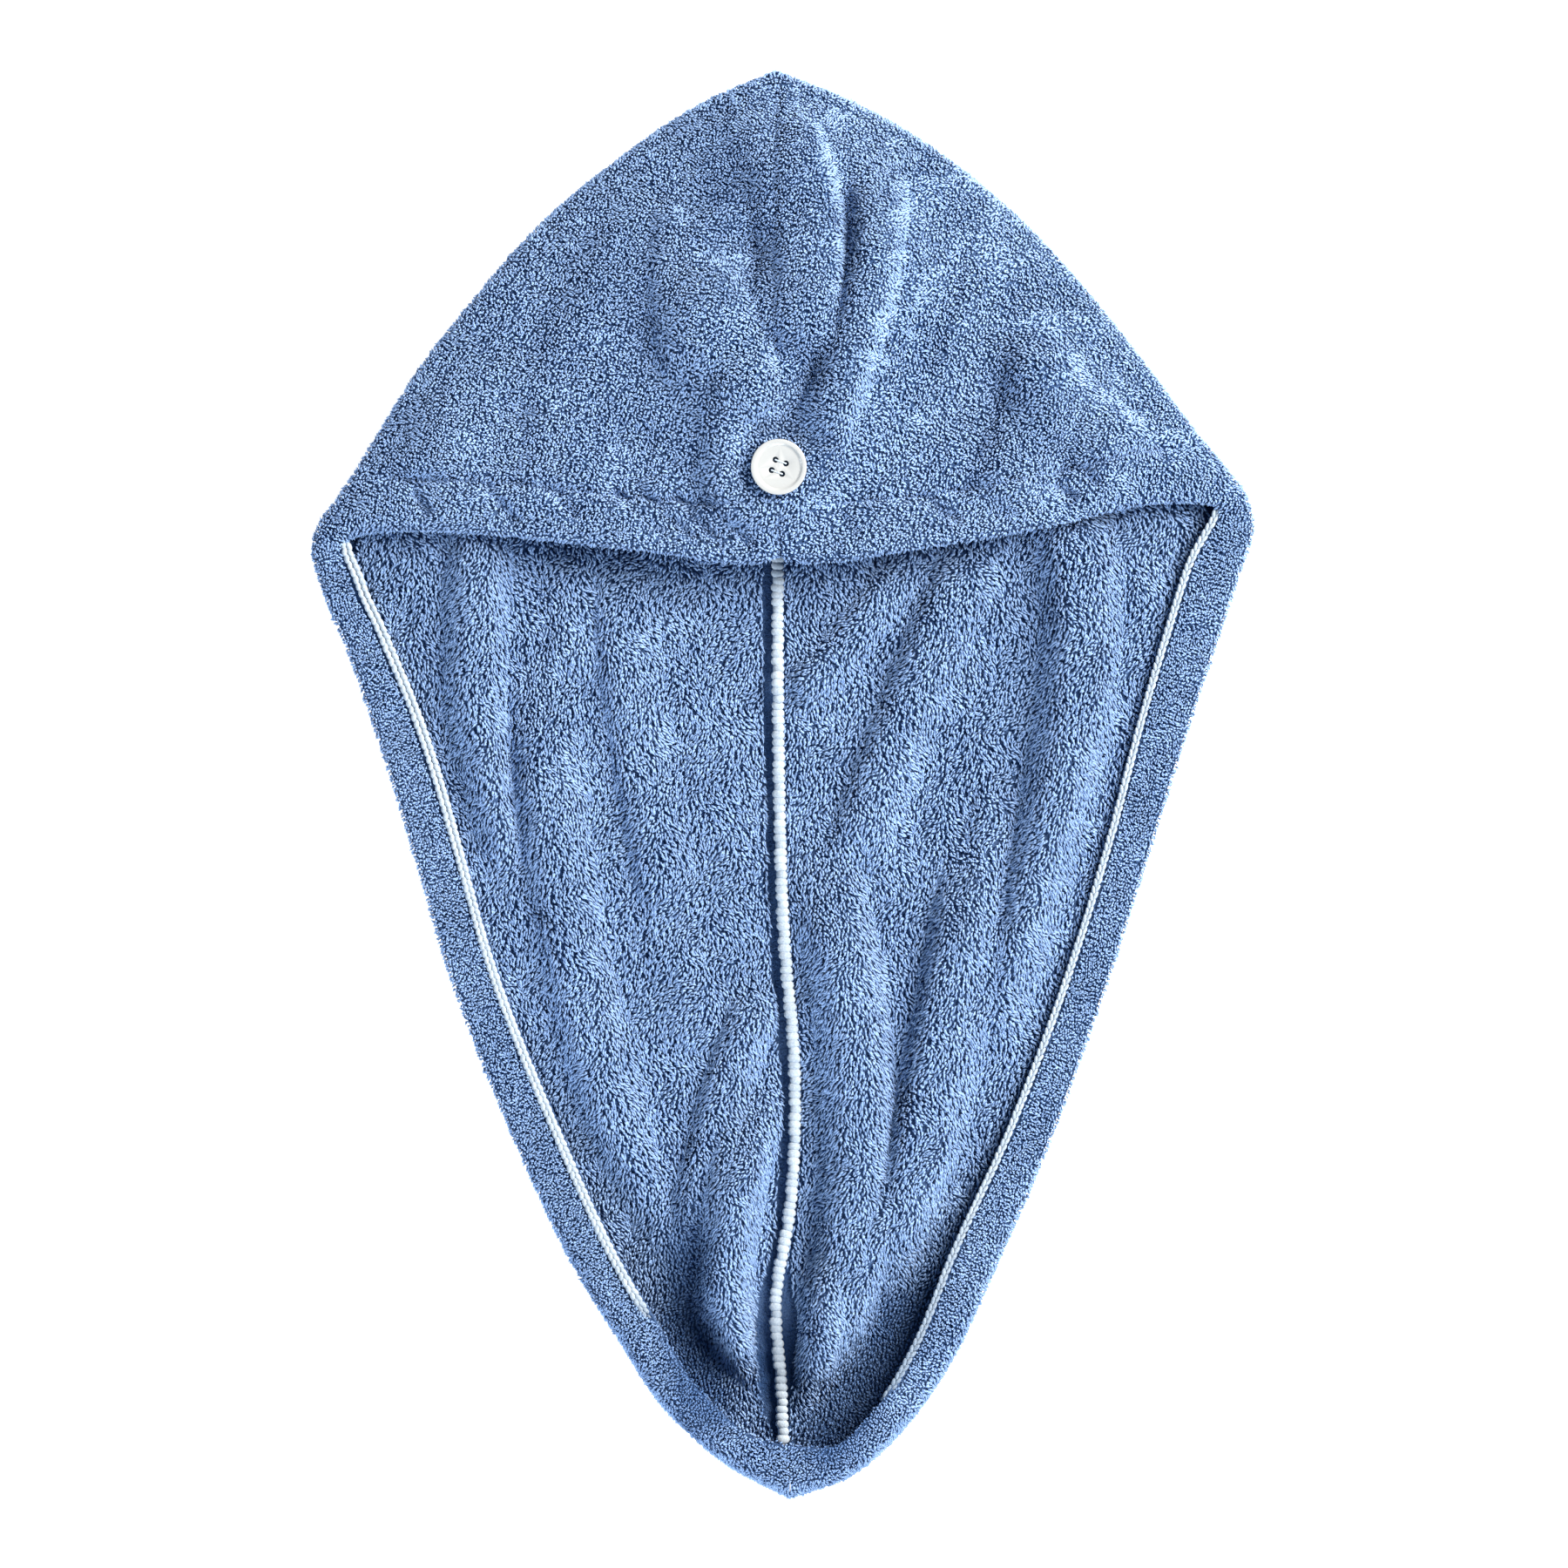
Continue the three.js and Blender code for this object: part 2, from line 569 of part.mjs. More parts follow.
// Four-hole button with a raised rim and a flat middle, its back at z = 0
function buttonGeometry() {
  const soft = BUTTON_HEIGHT / 5; // rounding of the outer edge
  const profile = [
    [0, 0],
    [BUTTON_RADIUS - 2 * soft, 0],
    [BUTTON_RADIUS, 2 * soft],
    [BUTTON_RADIUS, BUTTON_HEIGHT - soft],
    [BUTTON_RADIUS - soft, BUTTON_HEIGHT],
    [BUTTON_RADIUS - BUTTON_RIM, BUTTON_HEIGHT],
    [BUTTON_RADIUS - BUTTON_RIM - DISH_SLOPE, BUTTON_HEIGHT - BUTTON_DISH],
    [0, BUTTON_HEIGHT - BUTTON_DISH],
  ].map(([radius, height]) => new THREE.Vector2(radius, height));
  const body = new THREE.LatheGeometry(profile, BUTTON_FACETS).rotateX(Math.PI / 2);
  let solid = solidOf(body);
  for (const hole of HOLES) {
    const drill = upright(HOLE_RADIUS, HOLE_FACETS, -1, BUTTON_HEIGHT + 1).translate(hole.x, hole.y, 0);
    solid = solid.subtract(solidOf(drill));
  }
  return geometryOf(solid);
}

// Thread: wound shank below the button, four strands up through it and two stitches across
function threadGeometry() {
  const top = BUTTON_HEIGHT - BUTTON_DISH + SEAT_GAP + THREAD_RADIUS;
  let solid = solidOf(upright(SHANK_RADIUS, 2 * THREAD_FACETS, -SEAT_GAP - SHANK_HEIGHT, -SEAT_GAP));
  for (const hole of HOLES) {
    const strand = upright(THREAD_RADIUS, THREAD_FACETS, -SEAT_GAP - SHANK_HEIGHT / 2, top);
    solid = solid.add(solidOf(strand.translate(hole.x, hole.y, 0)));
  }
  for (const [from, to] of [HOLES.slice(0, 2), HOLES.slice(2)]) {
    const span = to.clone().sub(from);
    const stitch = new THREE.CapsuleGeometry(THREAD_RADIUS, span.length(), 3, THREAD_FACETS);
    stitch.rotateZ(span.angle() - Math.PI / 2);
    const middle = from.clone().add(to).multiplyScalar(0.5);
    solid = solid.add(solidOf(stitch.translate(middle.x, middle.y, top)));
  }
  return geometryOf(solid);
}

const fleece = () => new THREE.MeshStandardMaterial({ color: 0x7092c4, roughness: 0.95, metalness: 0 });
const overlock = () => new THREE.MeshStandardMaterial({ color: 0xe9f1f6, roughness: 0.8, metalness: 0 });
const glossyWhite = () => new THREE.MeshStandardMaterial({ color: 0xf7f7f5, roughness: 0.3, metalness: 0 });

function piece(name, geometry, material) {
  const mesh = new THREE.Mesh(geometry, material);
  mesh.name = name;
  return mesh;
}

const towel = new THREE.Group();
for (const side of Object.keys(sides)) {
  towel.add(piece(`${side}_panel`, panelGeometry(HALVES[side]), fleece()));
  towel.add(piece(`${side}_hem_edging`, edgingGeometry(side), overlock()));
}
towel.add(piece("seam_edging", seamGeometry(), overlock()));

const fastening = new THREE.Group();
fastening.add(piece("button", buttonGeometry(), glossyWhite()));
fastening.add(piece("button_thread", threadGeometry(), overlock()));
fastening.position.set(BUTTON_X, BUTTON_Y, BUTTON_SEAT + 2 * SEAT_GAP + SHANK_HEIGHT);
towel.add(fastening);

export default towel;
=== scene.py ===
import bpy
import math
import numpy as np
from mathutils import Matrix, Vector


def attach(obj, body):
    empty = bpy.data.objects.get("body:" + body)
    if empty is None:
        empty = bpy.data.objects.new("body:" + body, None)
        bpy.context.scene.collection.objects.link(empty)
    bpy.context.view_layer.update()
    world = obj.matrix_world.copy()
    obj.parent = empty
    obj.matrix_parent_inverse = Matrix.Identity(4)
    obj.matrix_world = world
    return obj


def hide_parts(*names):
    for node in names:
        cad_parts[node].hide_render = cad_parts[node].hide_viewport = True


# Hair turban towel of deep-pile fleece, laid flat with its opening up.
# The frame is in metres, and the sizes below are in millimetres.
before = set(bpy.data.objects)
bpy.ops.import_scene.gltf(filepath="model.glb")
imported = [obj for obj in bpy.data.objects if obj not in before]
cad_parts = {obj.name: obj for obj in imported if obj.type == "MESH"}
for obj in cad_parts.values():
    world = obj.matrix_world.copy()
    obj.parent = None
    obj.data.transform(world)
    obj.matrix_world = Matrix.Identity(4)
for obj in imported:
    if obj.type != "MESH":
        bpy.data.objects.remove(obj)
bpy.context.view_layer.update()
mm = 0.001
print("frame loaded")


def deselectAll():
    for thing in bpy.context.selected_objects:
        thing.select_set(False)


deselectAll()

# The towel

towel = {
    "length": 650,  # peak of the hood to tip of the tail
    "halfWidth": 215,
    "cloth": 3,
    "leastRounding": 0.2,  # of the cloth's free end
    "hoodHeight": 38,
    "mouthPower": 2.4,  # how flat the hood's free end is over its middle
    "domePower": 2.4,  # how flat the hood stays towards its outline
    "domeEnd": 0.85,
    "seamDip": 1.4,  # how deep the hood's seam lies
    "seamDipWidth": 2.6,
    "hemWidth": 22.5,  # band turned in along the edges
    "hoodHem": 6.4,  # doubled cloth of the hood's hem
    "hemTaper": 13,
    "hemGroove": 3.9,  # how deep the hem's stitching pulls in
    "grooveWidth": 9,
    "groovePower": 1.5,
    "puckerWidth": 0.24,  # share of the drapes' width
    "foldInside": 6.5,  # inside radius where the hood turns under
    "foldReach": 7.5,  # the furthest that this fold swells sideways
    "foldRise": 13,
    "foldWidth": 20,
    "drapeRise": 11,
    "drapeWidth": 20,
    "backLoft": 1.2,  # how far the back lies above the floor between its folds
    "lipRise": 9,  # how far the hem stands up round the tail's tip
    "slotSide": 2.2,  # width of the slots' sides
    "endTurn": 38,
    "seamGap": 0.4,
    "flatFade": 18,
    "edgingWidth": 3.8,
    "sink": 1.7,  # woven ground below the tips of the pile
    "seatBorder": 3,
    "seatFade": 15,
    "buttonRadius": 12.6,
    "buttonDown": 0.278,
}
halfWidth = towel["halfWidth"]
length = towel["length"]


def rowsOf(*rows):
    return np.array(rows, float)


# Across is a share of the half width from the middle, and down a share of the length from the peak.
# leftAcross, leftDown, rightAcross, rightDown, seamDown, roll, lip, leftHem, rightHem
sections = rowsOf(
    [-0.015, 0.0, -0.015, 0.0, 0.018, 1.0, 0, 1, 1],
    [-0.179, 0.024, 0.163, 0.024, 0.046, 0.92, 0, 1, 1],
    [-0.346, 0.061, 0.348, 0.061, 0.082, 0.82, 0, 1, 1],
    [-0.523, 0.11, 0.523, 0.11, 0.125, 0.7, 0, 1, 1],
    [-0.654, 0.159, 0.658, 0.159, 0.171, 0.6, 0, 1, 1],
    [-0.769, 0.207, 0.774, 0.207, 0.217, 0.52, 0, 1, 1],
    [-0.863, 0.256, 0.885, 0.256, 0.261, 0.45, 0, 1, 1],
    [-0.941, 0.297, 0.948, 0.281, 0.296, 0.42, 0, 1, 1],
    [-0.983, 0.316, 0.983, 0.297, 0.314, 0.4, 0, 1, 1],
    [-1.0, 0.332, 1.0, 0.317, 0.33, 0.37, 0, 0.95, 0.98],
    [-0.978, 0.366, 0.97, 0.354, 0.366, 0.2, 0.05, 0.88, 1.08],
    [-0.932, 0.403, 0.922, 0.403, 0.404, 0.08, 0.05, 0.9, 1.08],
    [-0.867, 0.464, 0.861, 0.464, 0.464, 0.06, 0.05, 1, 1.02],
    [-0.787, 0.549, 0.78, 0.549, 0.546, 0.06, 0.05, 1.02, 0.9],
    [-0.697, 0.647, 0.684, 0.647, 0.638, 0.06, 0.05, 1, 0.86],
    [-0.564, 0.757, 0.562, 0.757, 0.738, 0.2, 0.05, 1, 0.9],
    [-0.44, 0.842, 0.449, 0.842, 0.818, 0.7, 0.05, 0.95, 0.95],
    [-0.349, 0.89, 0.361, 0.903, 0.86, 1.2, 0.1, 0.89, 0.86],
    [-0.246, 0.94, 0.256, 0.952, 0.903, 1.65, 0.1, 0.81, 0.74],
    [-0.122, 0.976, 0.146, 0.984, 0.937, 1.8, 0.1, 0.8, 0.74],
    [0.015, 1.0, 0.015, 1.0, 0.961, 1.8, 0.1, 1.2, 1.2],
)
# leftAcross, leftDown, rightAcross, rightDown of the hood's free end
hoodEnds = rowsOf(
    [-0.015, 0.018, -0.015, 0.018],
    [-0.015, 0.075, -0.015, 0.075],
    [-0.015, 0.15, -0.015, 0.15],
    [-0.015, 0.245, -0.015, 0.245],
    [-0.011, 0.34, -0.011, 0.34],
    [-0.294, 0.336, 0.316, 0.333],
    [-0.57, 0.326, 0.584, 0.317],
    [-0.75, 0.322, 0.774, 0.303],
    [-0.845, 0.322, 0.865, 0.302],
    [-0.909, 0.326, 0.914, 0.304],
)
hemCentre = 4
corner = 9
# down, across
seamRows = rowsOf(
    [0.0, -0.015], [0.2, -0.015], [0.34, -0.012], [0.45, -0.011], [0.61, 0.002], [0.704, 0.024],
    [0.8, 0.013], [0.861, -0.016], [0.925, -0.004], [0.961, 0.0], [1.0, 0.015],
)
# down, height of the hood over the seam
crownRows = rowsOf(
    [0.0, 0.5], [0.018, 0.53], [0.067, 0.78], [0.128, 0.94], [0.195, 1.0], [0.276, 0.92], [0.34, 0.78],
)
# topAcross, topDown, midAcross, midDown, footAcross, footDown, rise, left, right
backFolds = rowsOf(
    [-0.612, 0.268, -0.652, 0.427, -0.604, 0.58, 0.85, 0.75, 0.7],
    [-0.516, 0.403, -0.47, 0.574, -0.312, 0.805, 0.65, 0.75, 0.9],
    [-0.368, 0.317, -0.327, 0.458, -0.238, 0.61, 0.45, 0.5, 1.0],
    [-0.011, 0.635, -0.118, 0.714, -0.201, 0.836, 0.6, 0.6, 0.55],
    [-0.017, 0.702, -0.118, 0.842, -0.065, 0.964, 1.4, 0.75, 0.6],
    [0.048, 0.519, 0.165, 0.72, 0.076, 0.943, 1.15, 1.0, 0.8],
    [0.412, 0.525, 0.323, 0.683, 0.196, 0.879, 1.0, 0.65, 1.15],
    [0.571, 0.275, 0.623, 0.439, 0.427, 0.708, 1.25, 0.95, 0.95],
    [0.436, 0.311, 0.27, 0.439, 0.128, 0.567, 0.45, 0.7, 0.9],
    [0.298, 0.329, 0.159, 0.394, 0.011, 0.445, 0.45, 0.55, 0.5],
)
# the same columns, for the hood
hoodDrapes = rowsOf(
    [-0.011, 0.009, 0.091, 0.109, 0.05, 0.214, 0.9, 1.8, 0.42],
    [0.192, 0.064, 0.19, 0.149, 0.057, 0.281, 1.25, 0.8, 0.62],
    [-0.192, 0.134, -0.105, 0.178, -0.035, 0.244, 0.5, 2.0, 0.6],
    [-0.031, 0.195, -0.094, 0.259, -0.098, 0.329, 0.65, 1.0, 1.1],
    [0.519, 0.171, 0.603, 0.223, 0.787, 0.272, 0.65, 1.5, 0.6],
    [0.547, 0.174, 0.519, 0.244, 0.431, 0.311, 0.7, 0.85, 1.1],
)
# lesser folds and hollows, with the same columns
backCreases = rowsOf(
    [-0.201, 0.342, -0.183, 0.439, -0.128, 0.537, 0.15, 1.0, 1.0],
    [0.464, 0.488, 0.436, 0.561, 0.39, 0.635, 0.3, 0.6, 0.6],
    [-0.257, 0.598, -0.201, 0.641, -0.183, 0.689, 0.18, 0.8, 0.8],
    [-0.479, 0.329, -0.451, 0.378, -0.46, 0.427, 0.25, 0.7, 0.7],
    [0.797, 0.342, 0.778, 0.403, 0.723, 0.476, 0.25, 0.8, 0.7],
    [0.39, 0.732, 0.335, 0.793, 0.261, 0.854, 0.3, 0.7, 0.7],
    [-0.368, 0.732, -0.312, 0.793, -0.257, 0.842, 0.25, 0.6, 0.8],
    [0.061, 0.824, 0.072, 0.885, 0.057, 0.952, 0.5, 0.4, 0.6],
    [0.436, 0.317, 0.27, 0.439, 0.128, 0.567, 0.2, 0.6, 0.8],
)
hoodCreases = rowsOf(
    [-0.248, 0.117, -0.115, 0.108, 0.011, 0.104, 0.16, 0.35, 0.3],
    [-0.201, 0.067, -0.238, 0.146, -0.201, 0.229, 0.35, 0.5, 1.8],
    [-0.118, 0.037, -0.192, 0.076, -0.248, 0.107, -0.25, 1.6, 1.6],
    [0.64, 0.186, 0.774, 0.22, 0.898, 0.256, -0.6, 0.6, 0.7],
    [0.298, 0.085, 0.338, 0.14, 0.224, 0.232, -0.3, 0.6, 0.7],
    [-0.386, 0.079, -0.46, 0.134, -0.506, 0.183, -0.15, 0.8, 0.8],
    [-0.368, 0.128, -0.42, 0.165, -0.442, 0.207, 0.15, 0.8, 0.7],
    [-0.774, 0.214, -0.738, 0.25, -0.752, 0.293, 0.3, 1.8, 1.0],
    [-0.562, 0.22, -0.571, 0.256, -0.59, 0.293, -0.2, 0.7, 0.7],
    [-0.303, 0.238, -0.322, 0.268, -0.303, 0.299, -0.2, 0.7, 0.7],
    [-0.433, 0.177, -0.46, 0.22, -0.479, 0.268, 0.15, 0.9, 0.9],
)
# topAcross, topDown, footAcross, footDown and rise of the slanting puckers in the hood's hem
puckers = rowsOf(
    [-0.641, 0.286, -0.553, 0.322, -0.28],
    [-0.383, 0.288, -0.235, 0.331, -0.28],
    [-0.327, 0.288, -0.174, 0.334, -0.3],
    [-0.253, 0.29, -0.128, 0.333, -0.3],
    [-0.183, 0.298, -0.057, 0.337, -0.28],
    [-0.501, 0.292, -0.427, 0.317, -0.28],
    [0.272, 0.297, 0.383, 0.32, -0.28],
    [0.542, 0.286, 0.63, 0.305, -0.28],
    [0.627, 0.278, 0.671, 0.293, -0.28],
    [-0.793, 0.29, -0.738, 0.315, -0.28],
    [0.104, 0.308, 0.168, 0.329, -0.18],
)
# across, down, depth, width and length of the hood's dents
hoodDents = rowsOf(
    [-0.057, 0.052, 1.6, 16, 18],
    [-0.061, 0.128, 3.5, 8, 13],
    [0.579, 0.276, 1.3, 9, 8],
    [0.684, 0.253, 1.2, 8, 8],
    [0.603, 0.297, 1.0, 8, 7],
    [0.03, 0.105, 1.5, 4, 4],
    [0.492, 0.229, 1.2, 7, 12],
    [-0.109, 0.238, 1.5, 9, 12],
    [-0.168, 0.293, 1.5, 7, 14],
    [-0.17, 0.112, 5.5, 26, 20],
    [-0.29, 0.185, 2.5, 16, 24],
    [0.36, 0.235, 2.5, 18, 22],
)
# down, and how far the bare slots beside the seam reach to its left and its right; the cloth in them is sunk,
# and painted dark as the seam's shadow
seamSlots = rowsOf(
    [0.34, 7.4, 2.6],
    [0.66, 7.4, 2.6],
    [0.73, 6.8, 2.8],
    [0.83, 6.6, 2.8],
    [0.842, 7.4, 5.2],
    [0.854, 8.6, 7.7],
    [0.866, 8.9, 10.7],
    [0.878, 11.0, 11.4],
    [0.891, 11.4, 10.4],
    [0.903, 11.2, 9.4],
    [0.915, 10.8, 7.6],
    [0.927, 9.8, 5.2],
    [0.94, 8.0, 3.6],
    [0.952, 4.4, 4.0],
    [0.965, 2.8, 2.8],
)
# deep hollows, where the tufts are shorter and the pile's colour is painted dark as shade, with the columns
# of the folds
hollowsPaintedDark = rowsOf(
    [-0.15, 0.77, -0.2, 0.87, -0.13, 0.965, 1.0, 0.9, 0.9],
    [-0.02, 0.82, -0.04, 0.9, -0.02, 0.975, 0.7, 0.45, 0.3],
    [0.3, 0.84, 0.2, 0.905, 0.03, 0.985, 1.0, 0.95, 0.85],
)
foldFade = {"top": 0.3, "foot": 0.17}
foldSteps = 10


def downToY(down):
    return (0.5 - down) * length


def smooth(low, high, value):
    t = np.clip((value - low) / (high - low), 0, 1)
    return t * t * (3 - 2 * t)


def blendOf(a, b, share):
    return a + (b - a) * share


# Smooth curve through the given values, with each slope taken from the neighbouring ones
def curveThrough(knots, values, at):
    knots = np.asarray(knots, float)
    values = np.asarray(values, float)
    step = np.diff(knots)
    rise = np.diff(values) / step
    inner = (rise[1:] * step[:-1] + rise[:-1] * step[1:]) / (knots[2:] - knots[:-2])
    slopes = np.concatenate([rise[:1], inner, rise[-1:]])
    at = np.clip(at, knots[0], knots[-1])
    i = np.clip(np.searchsorted(knots, at, side="right") - 1, 0, len(knots) - 2)
    t = (at - knots[i]) / step[i]
    back = 1 - t
    return (
        (1 + 2 * t) * back * back * values[i]
        + t * t * (1 + 2 * back) * values[i + 1]
        + t * back * step[i] * (back * slopes[i] - t * slopes[i + 1])
    )


def seamAt(y):
    return curveThrough(-downToY(seamRows[:, 0]), seamRows[:, 1] * halfWidth, -y)


def crownAt(y):
    return curveThrough(-downToY(crownRows[:, 0]), crownRows[:, 1] * towel["hoodHeight"], -y)


# Smooth random height over the plan, from about -1 to 1
def softNoise(x, y, pitch, seed):
    rng = np.random.default_rng(seed)
    size = 256
    lattice = rng.uniform(-1, 1, (size, size))
    u = np.asarray(x) / pitch + 1000.37
    v = np.asarray(y) / pitch + 1000.71
    i = np.floor(u).astype(int)
    j = np.floor(v).astype(int)
    a = u - i
    b = v - j
    a = a * a * (3 - 2 * a)
    b = b * b * (3 - 2 * b)
    i0, i1, j0, j1 = i % size, (i + 1) % size, j % size, (j + 1) % size
    low = blendOf(lattice[i0, j0], lattice[i1, j0], a)
    high = blendOf(lattice[i0, j1], lattice[i1, j1], a)
    return blendOf(low, high, b)


# Height that a set of folds adds over the plan. Each crest runs through three points.
def foldHeight(rows, rise, width, x, y):
    height = np.zeros_like(x)
    shares = np.linspace(0, 1, foldSteps + 1)[:, None]
    for topX, topDown, midX, midDown, footX, footDown, share, left, right in rows:
        top, mid, foot = (
            np.array([across * halfWidth, downToY(down)])
            for across, down in ((topX, topDown), (midX, midDown), (footX, footDown))
        )
        crest = top * (1 - shares) * (1 - 2 * shares) + mid * 4 * shares * (1 - shares)
        crest += foot * shares * (2 * shares - 1)
        nearest = np.full_like(x, np.inf)
        side = np.zeros_like(x)
        along = np.zeros_like(x)
        for k in range(foldSteps):
            start, step = crest[k], crest[k + 1] - crest[k]
            part = ((x - start[0]) * step[0] + (y - start[1]) * step[1]) / (step @ step)
            part = np.clip(part, 0, 1)
            offX, offY = x - start[0] - step[0] * part, y - start[1] - step[1] * part
            far = np.hypot(offX, offY)
            closer = far < nearest
            nearest = np.where(closer, far, nearest)
            side = np.where(closer, step[0] * offY - step[1] * offX, side)
            along = np.where(closer, (k + part) / foldSteps, along)
        near = np.minimum(nearest / (width * np.where(side < 0, left, right)), 1)
        fade = smooth(0, foldFade["top"], along) * smooth(0, foldFade["foot"], 1 - along)
        height += rise * share * (1 - near ** 3) ** 2 * fade
    return height


# The puckers as straight folds, each with its middle halfway
def puckerFolds():
    middles = (puckers[:, 0:2] + puckers[:, 2:4]) / 2
    widths = np.full((len(puckers), 2), towel["puckerWidth"])
    return np.concatenate([puckers[:, 0:2], middles, puckers[:, 2:4], puckers[:, 4:], widths], 1)


def dentDepth(rows, x, y):
    depth = np.zeros_like(x)
    for across, down, most, width, tall in rows:
        far = ((x - across * halfWidth) / width) ** 2 + ((y - downToY(down)) / tall) ** 2
        depth += most * np.exp(-far)
    return depth


# How far into the bare slots beside the seam a place lies, from 0 to 1
def slotShare(x, y):
    down = 0.5 - y / length
    aside = x - seamAt(y)
    left = np.interp(down, seamSlots[:, 0], seamSlots[:, 1])
    right = np.interp(down, seamSlots[:, 0], seamSlots[:, 2])
    reach = np.where(aside < 0, left, right) - np.abs(aside)
    return smooth(0, towel["slotSide"], reach + towel["slotSide"] / 2) * (down > seamSlots[0, 0])


# How far into the hollows a place lies, from 0 to 1: the tufts there are shorter, and painted dark as shade
def hollowShare(x, y):
    return np.clip(foldHeight(hollowsPaintedDark, 1, towel["foldWidth"], x, y), 0, 1)


# Distance along the outline to each section, the mean of both sides
def alongOutline():
    steps = []
    for x, down in ((0, 1), (2, 3)):
        across = np.diff(sections[:, x]) * halfWidth
        steps.append(np.hypot(across, np.diff(sections[:, down]) * length))
    return np.concatenate([[0], np.cumsum(sum(steps) / 2)])


alongRows = alongOutline()
alongEnd = alongRows[-1]
hemPoints = np.concatenate([hoodEnds[hemCentre:][::-1, 0:2], hoodEnds[hemCentre + 1:][:, 2:4]])


def hemY(x):
    return curveThrough(hemPoints[:, 0] * halfWidth, downToY(hemPoints[:, 1]), x)


# One half's guiding curves at the given distances along the outline
def sideCurves(sign, s, gap):
    side = 0 if sign < 0 else 2
    rowX = sections[:, side] * halfWidth
    rowY = downToY(sections[:, side + 1])

    def besideSeam(y):
        return seamAt(y) + sign * gap / 2

    for end in (0, -1):
        rowX[end] = besideSeam(rowY[end])

    def outwardAt(at):
        step = 0.5
        tangentX = curveThrough(alongRows, rowX, at + step) - curveThrough(alongRows, rowX, at - step)
        tangentY = curveThrough(alongRows, rowY, at + step) - curveThrough(alongRows, rowY, at - step)
        natural = np.stack([-tangentY, tangentX], -1) * sign
        natural /= np.linalg.norm(natural, axis=-1, keepdims=True)
        square = np.stack([np.zeros_like(at), np.where(at < alongEnd / 2, 1.0, -1.0)], -1)
        turn = smooth(0, towel["endTurn"], np.minimum(at, alongEnd - at))[..., None]
        mixed = blendOf(square, natural, turn)
        return mixed / np.linalg.norm(mixed, axis=-1, keepdims=True)

    edgeRows = np.stack([rowX, rowY], -1)
    hemShare = sections[:, 7 if sign < 0 else 8]
    ends = edgeRows - outwardAt(alongRows) * (towel["hemWidth"] * hemShare)[:, None]
    ends[: corner + 1, 0] = hoodEnds[:, side] * halfWidth
    ends[: corner + 1, 1] = downToY(hoodEnds[:, side + 1])
    ends[-1, 1] = downToY(sections[-1, 4])
    ends[-1, 0] = seamAt(ends[-1, 1])
    roll = curveThrough(alongRows, towel["cloth"] + sections[:, 5] * towel["foldInside"], s)
    outward = outwardAt(s)
    edge = np.stack([curveThrough(alongRows, rowX, s), curveThrough(alongRows, rowY, s)], -1)
    free = np.stack([curveThrough(alongRows, ends[:, 0], s), curveThrough(alongRows, ends[:, 1], s)], -1)
    onSeam = (s <= alongRows[hemCentre]) | (s >= alongEnd)
    free[onSeam, 0] = besideSeam(free[onSeam, 1])
    seamY = curveThrough(alongRows, downToY(sections[:, 4]), s)
    return {
        "outward": outward,
        "roll": roll,
        "reach": np.minimum(roll, towel["foldReach"]),
        "fold": edge - outward * np.minimum(roll, towel["foldReach"])[:, None],
        "free": free,
        "seam": np.stack([besideSeam(seamY), seamY], -1),
        "lip": curveThrough(alongRows, sections[:, 6] * towel["lipRise"], s),
        "band": smooth(alongRows[corner - 1], alongRows[corner + 1], s),
        "mouth": abs(ends[corner, 0] - ends[hemCentre, 0]),
    }


# height, pitch, stretch and seed of the low waves that keep the cloth from lying too even
backWaves = rowsOf([0.9, 17, 2.2, 3], [0.35, 7, 1, 4])
hoodWaves = rowsOf([0.8, 22, 1, 5], [0.35, 8, 1, 6])


def waveHeight(rows, x, y):
    return sum(height * softNoise(x, y / stretch, pitch, int(seed)) for height, pitch, stretch, seed in rows)


flatBand = towel["hemWidth"] + towel["edgingWidth"]
buttonY = downToY(towel["buttonDown"])
buttonX = float(seamAt(buttonY))
buttonSeat = float(crownAt(buttonY))


def backHeight(x, y, inward):
    folds = np.concatenate([backFolds, backCreases])
    raised = foldHeight(folds, towel["foldRise"], towel["foldWidth"], x, y) + towel["backLoft"]
    raised = (raised + waveHeight(backWaves, x, y)) * (1 - slotShare(x, y))
    return raised * smooth(flatBand, flatBand + towel["flatFade"], inward)


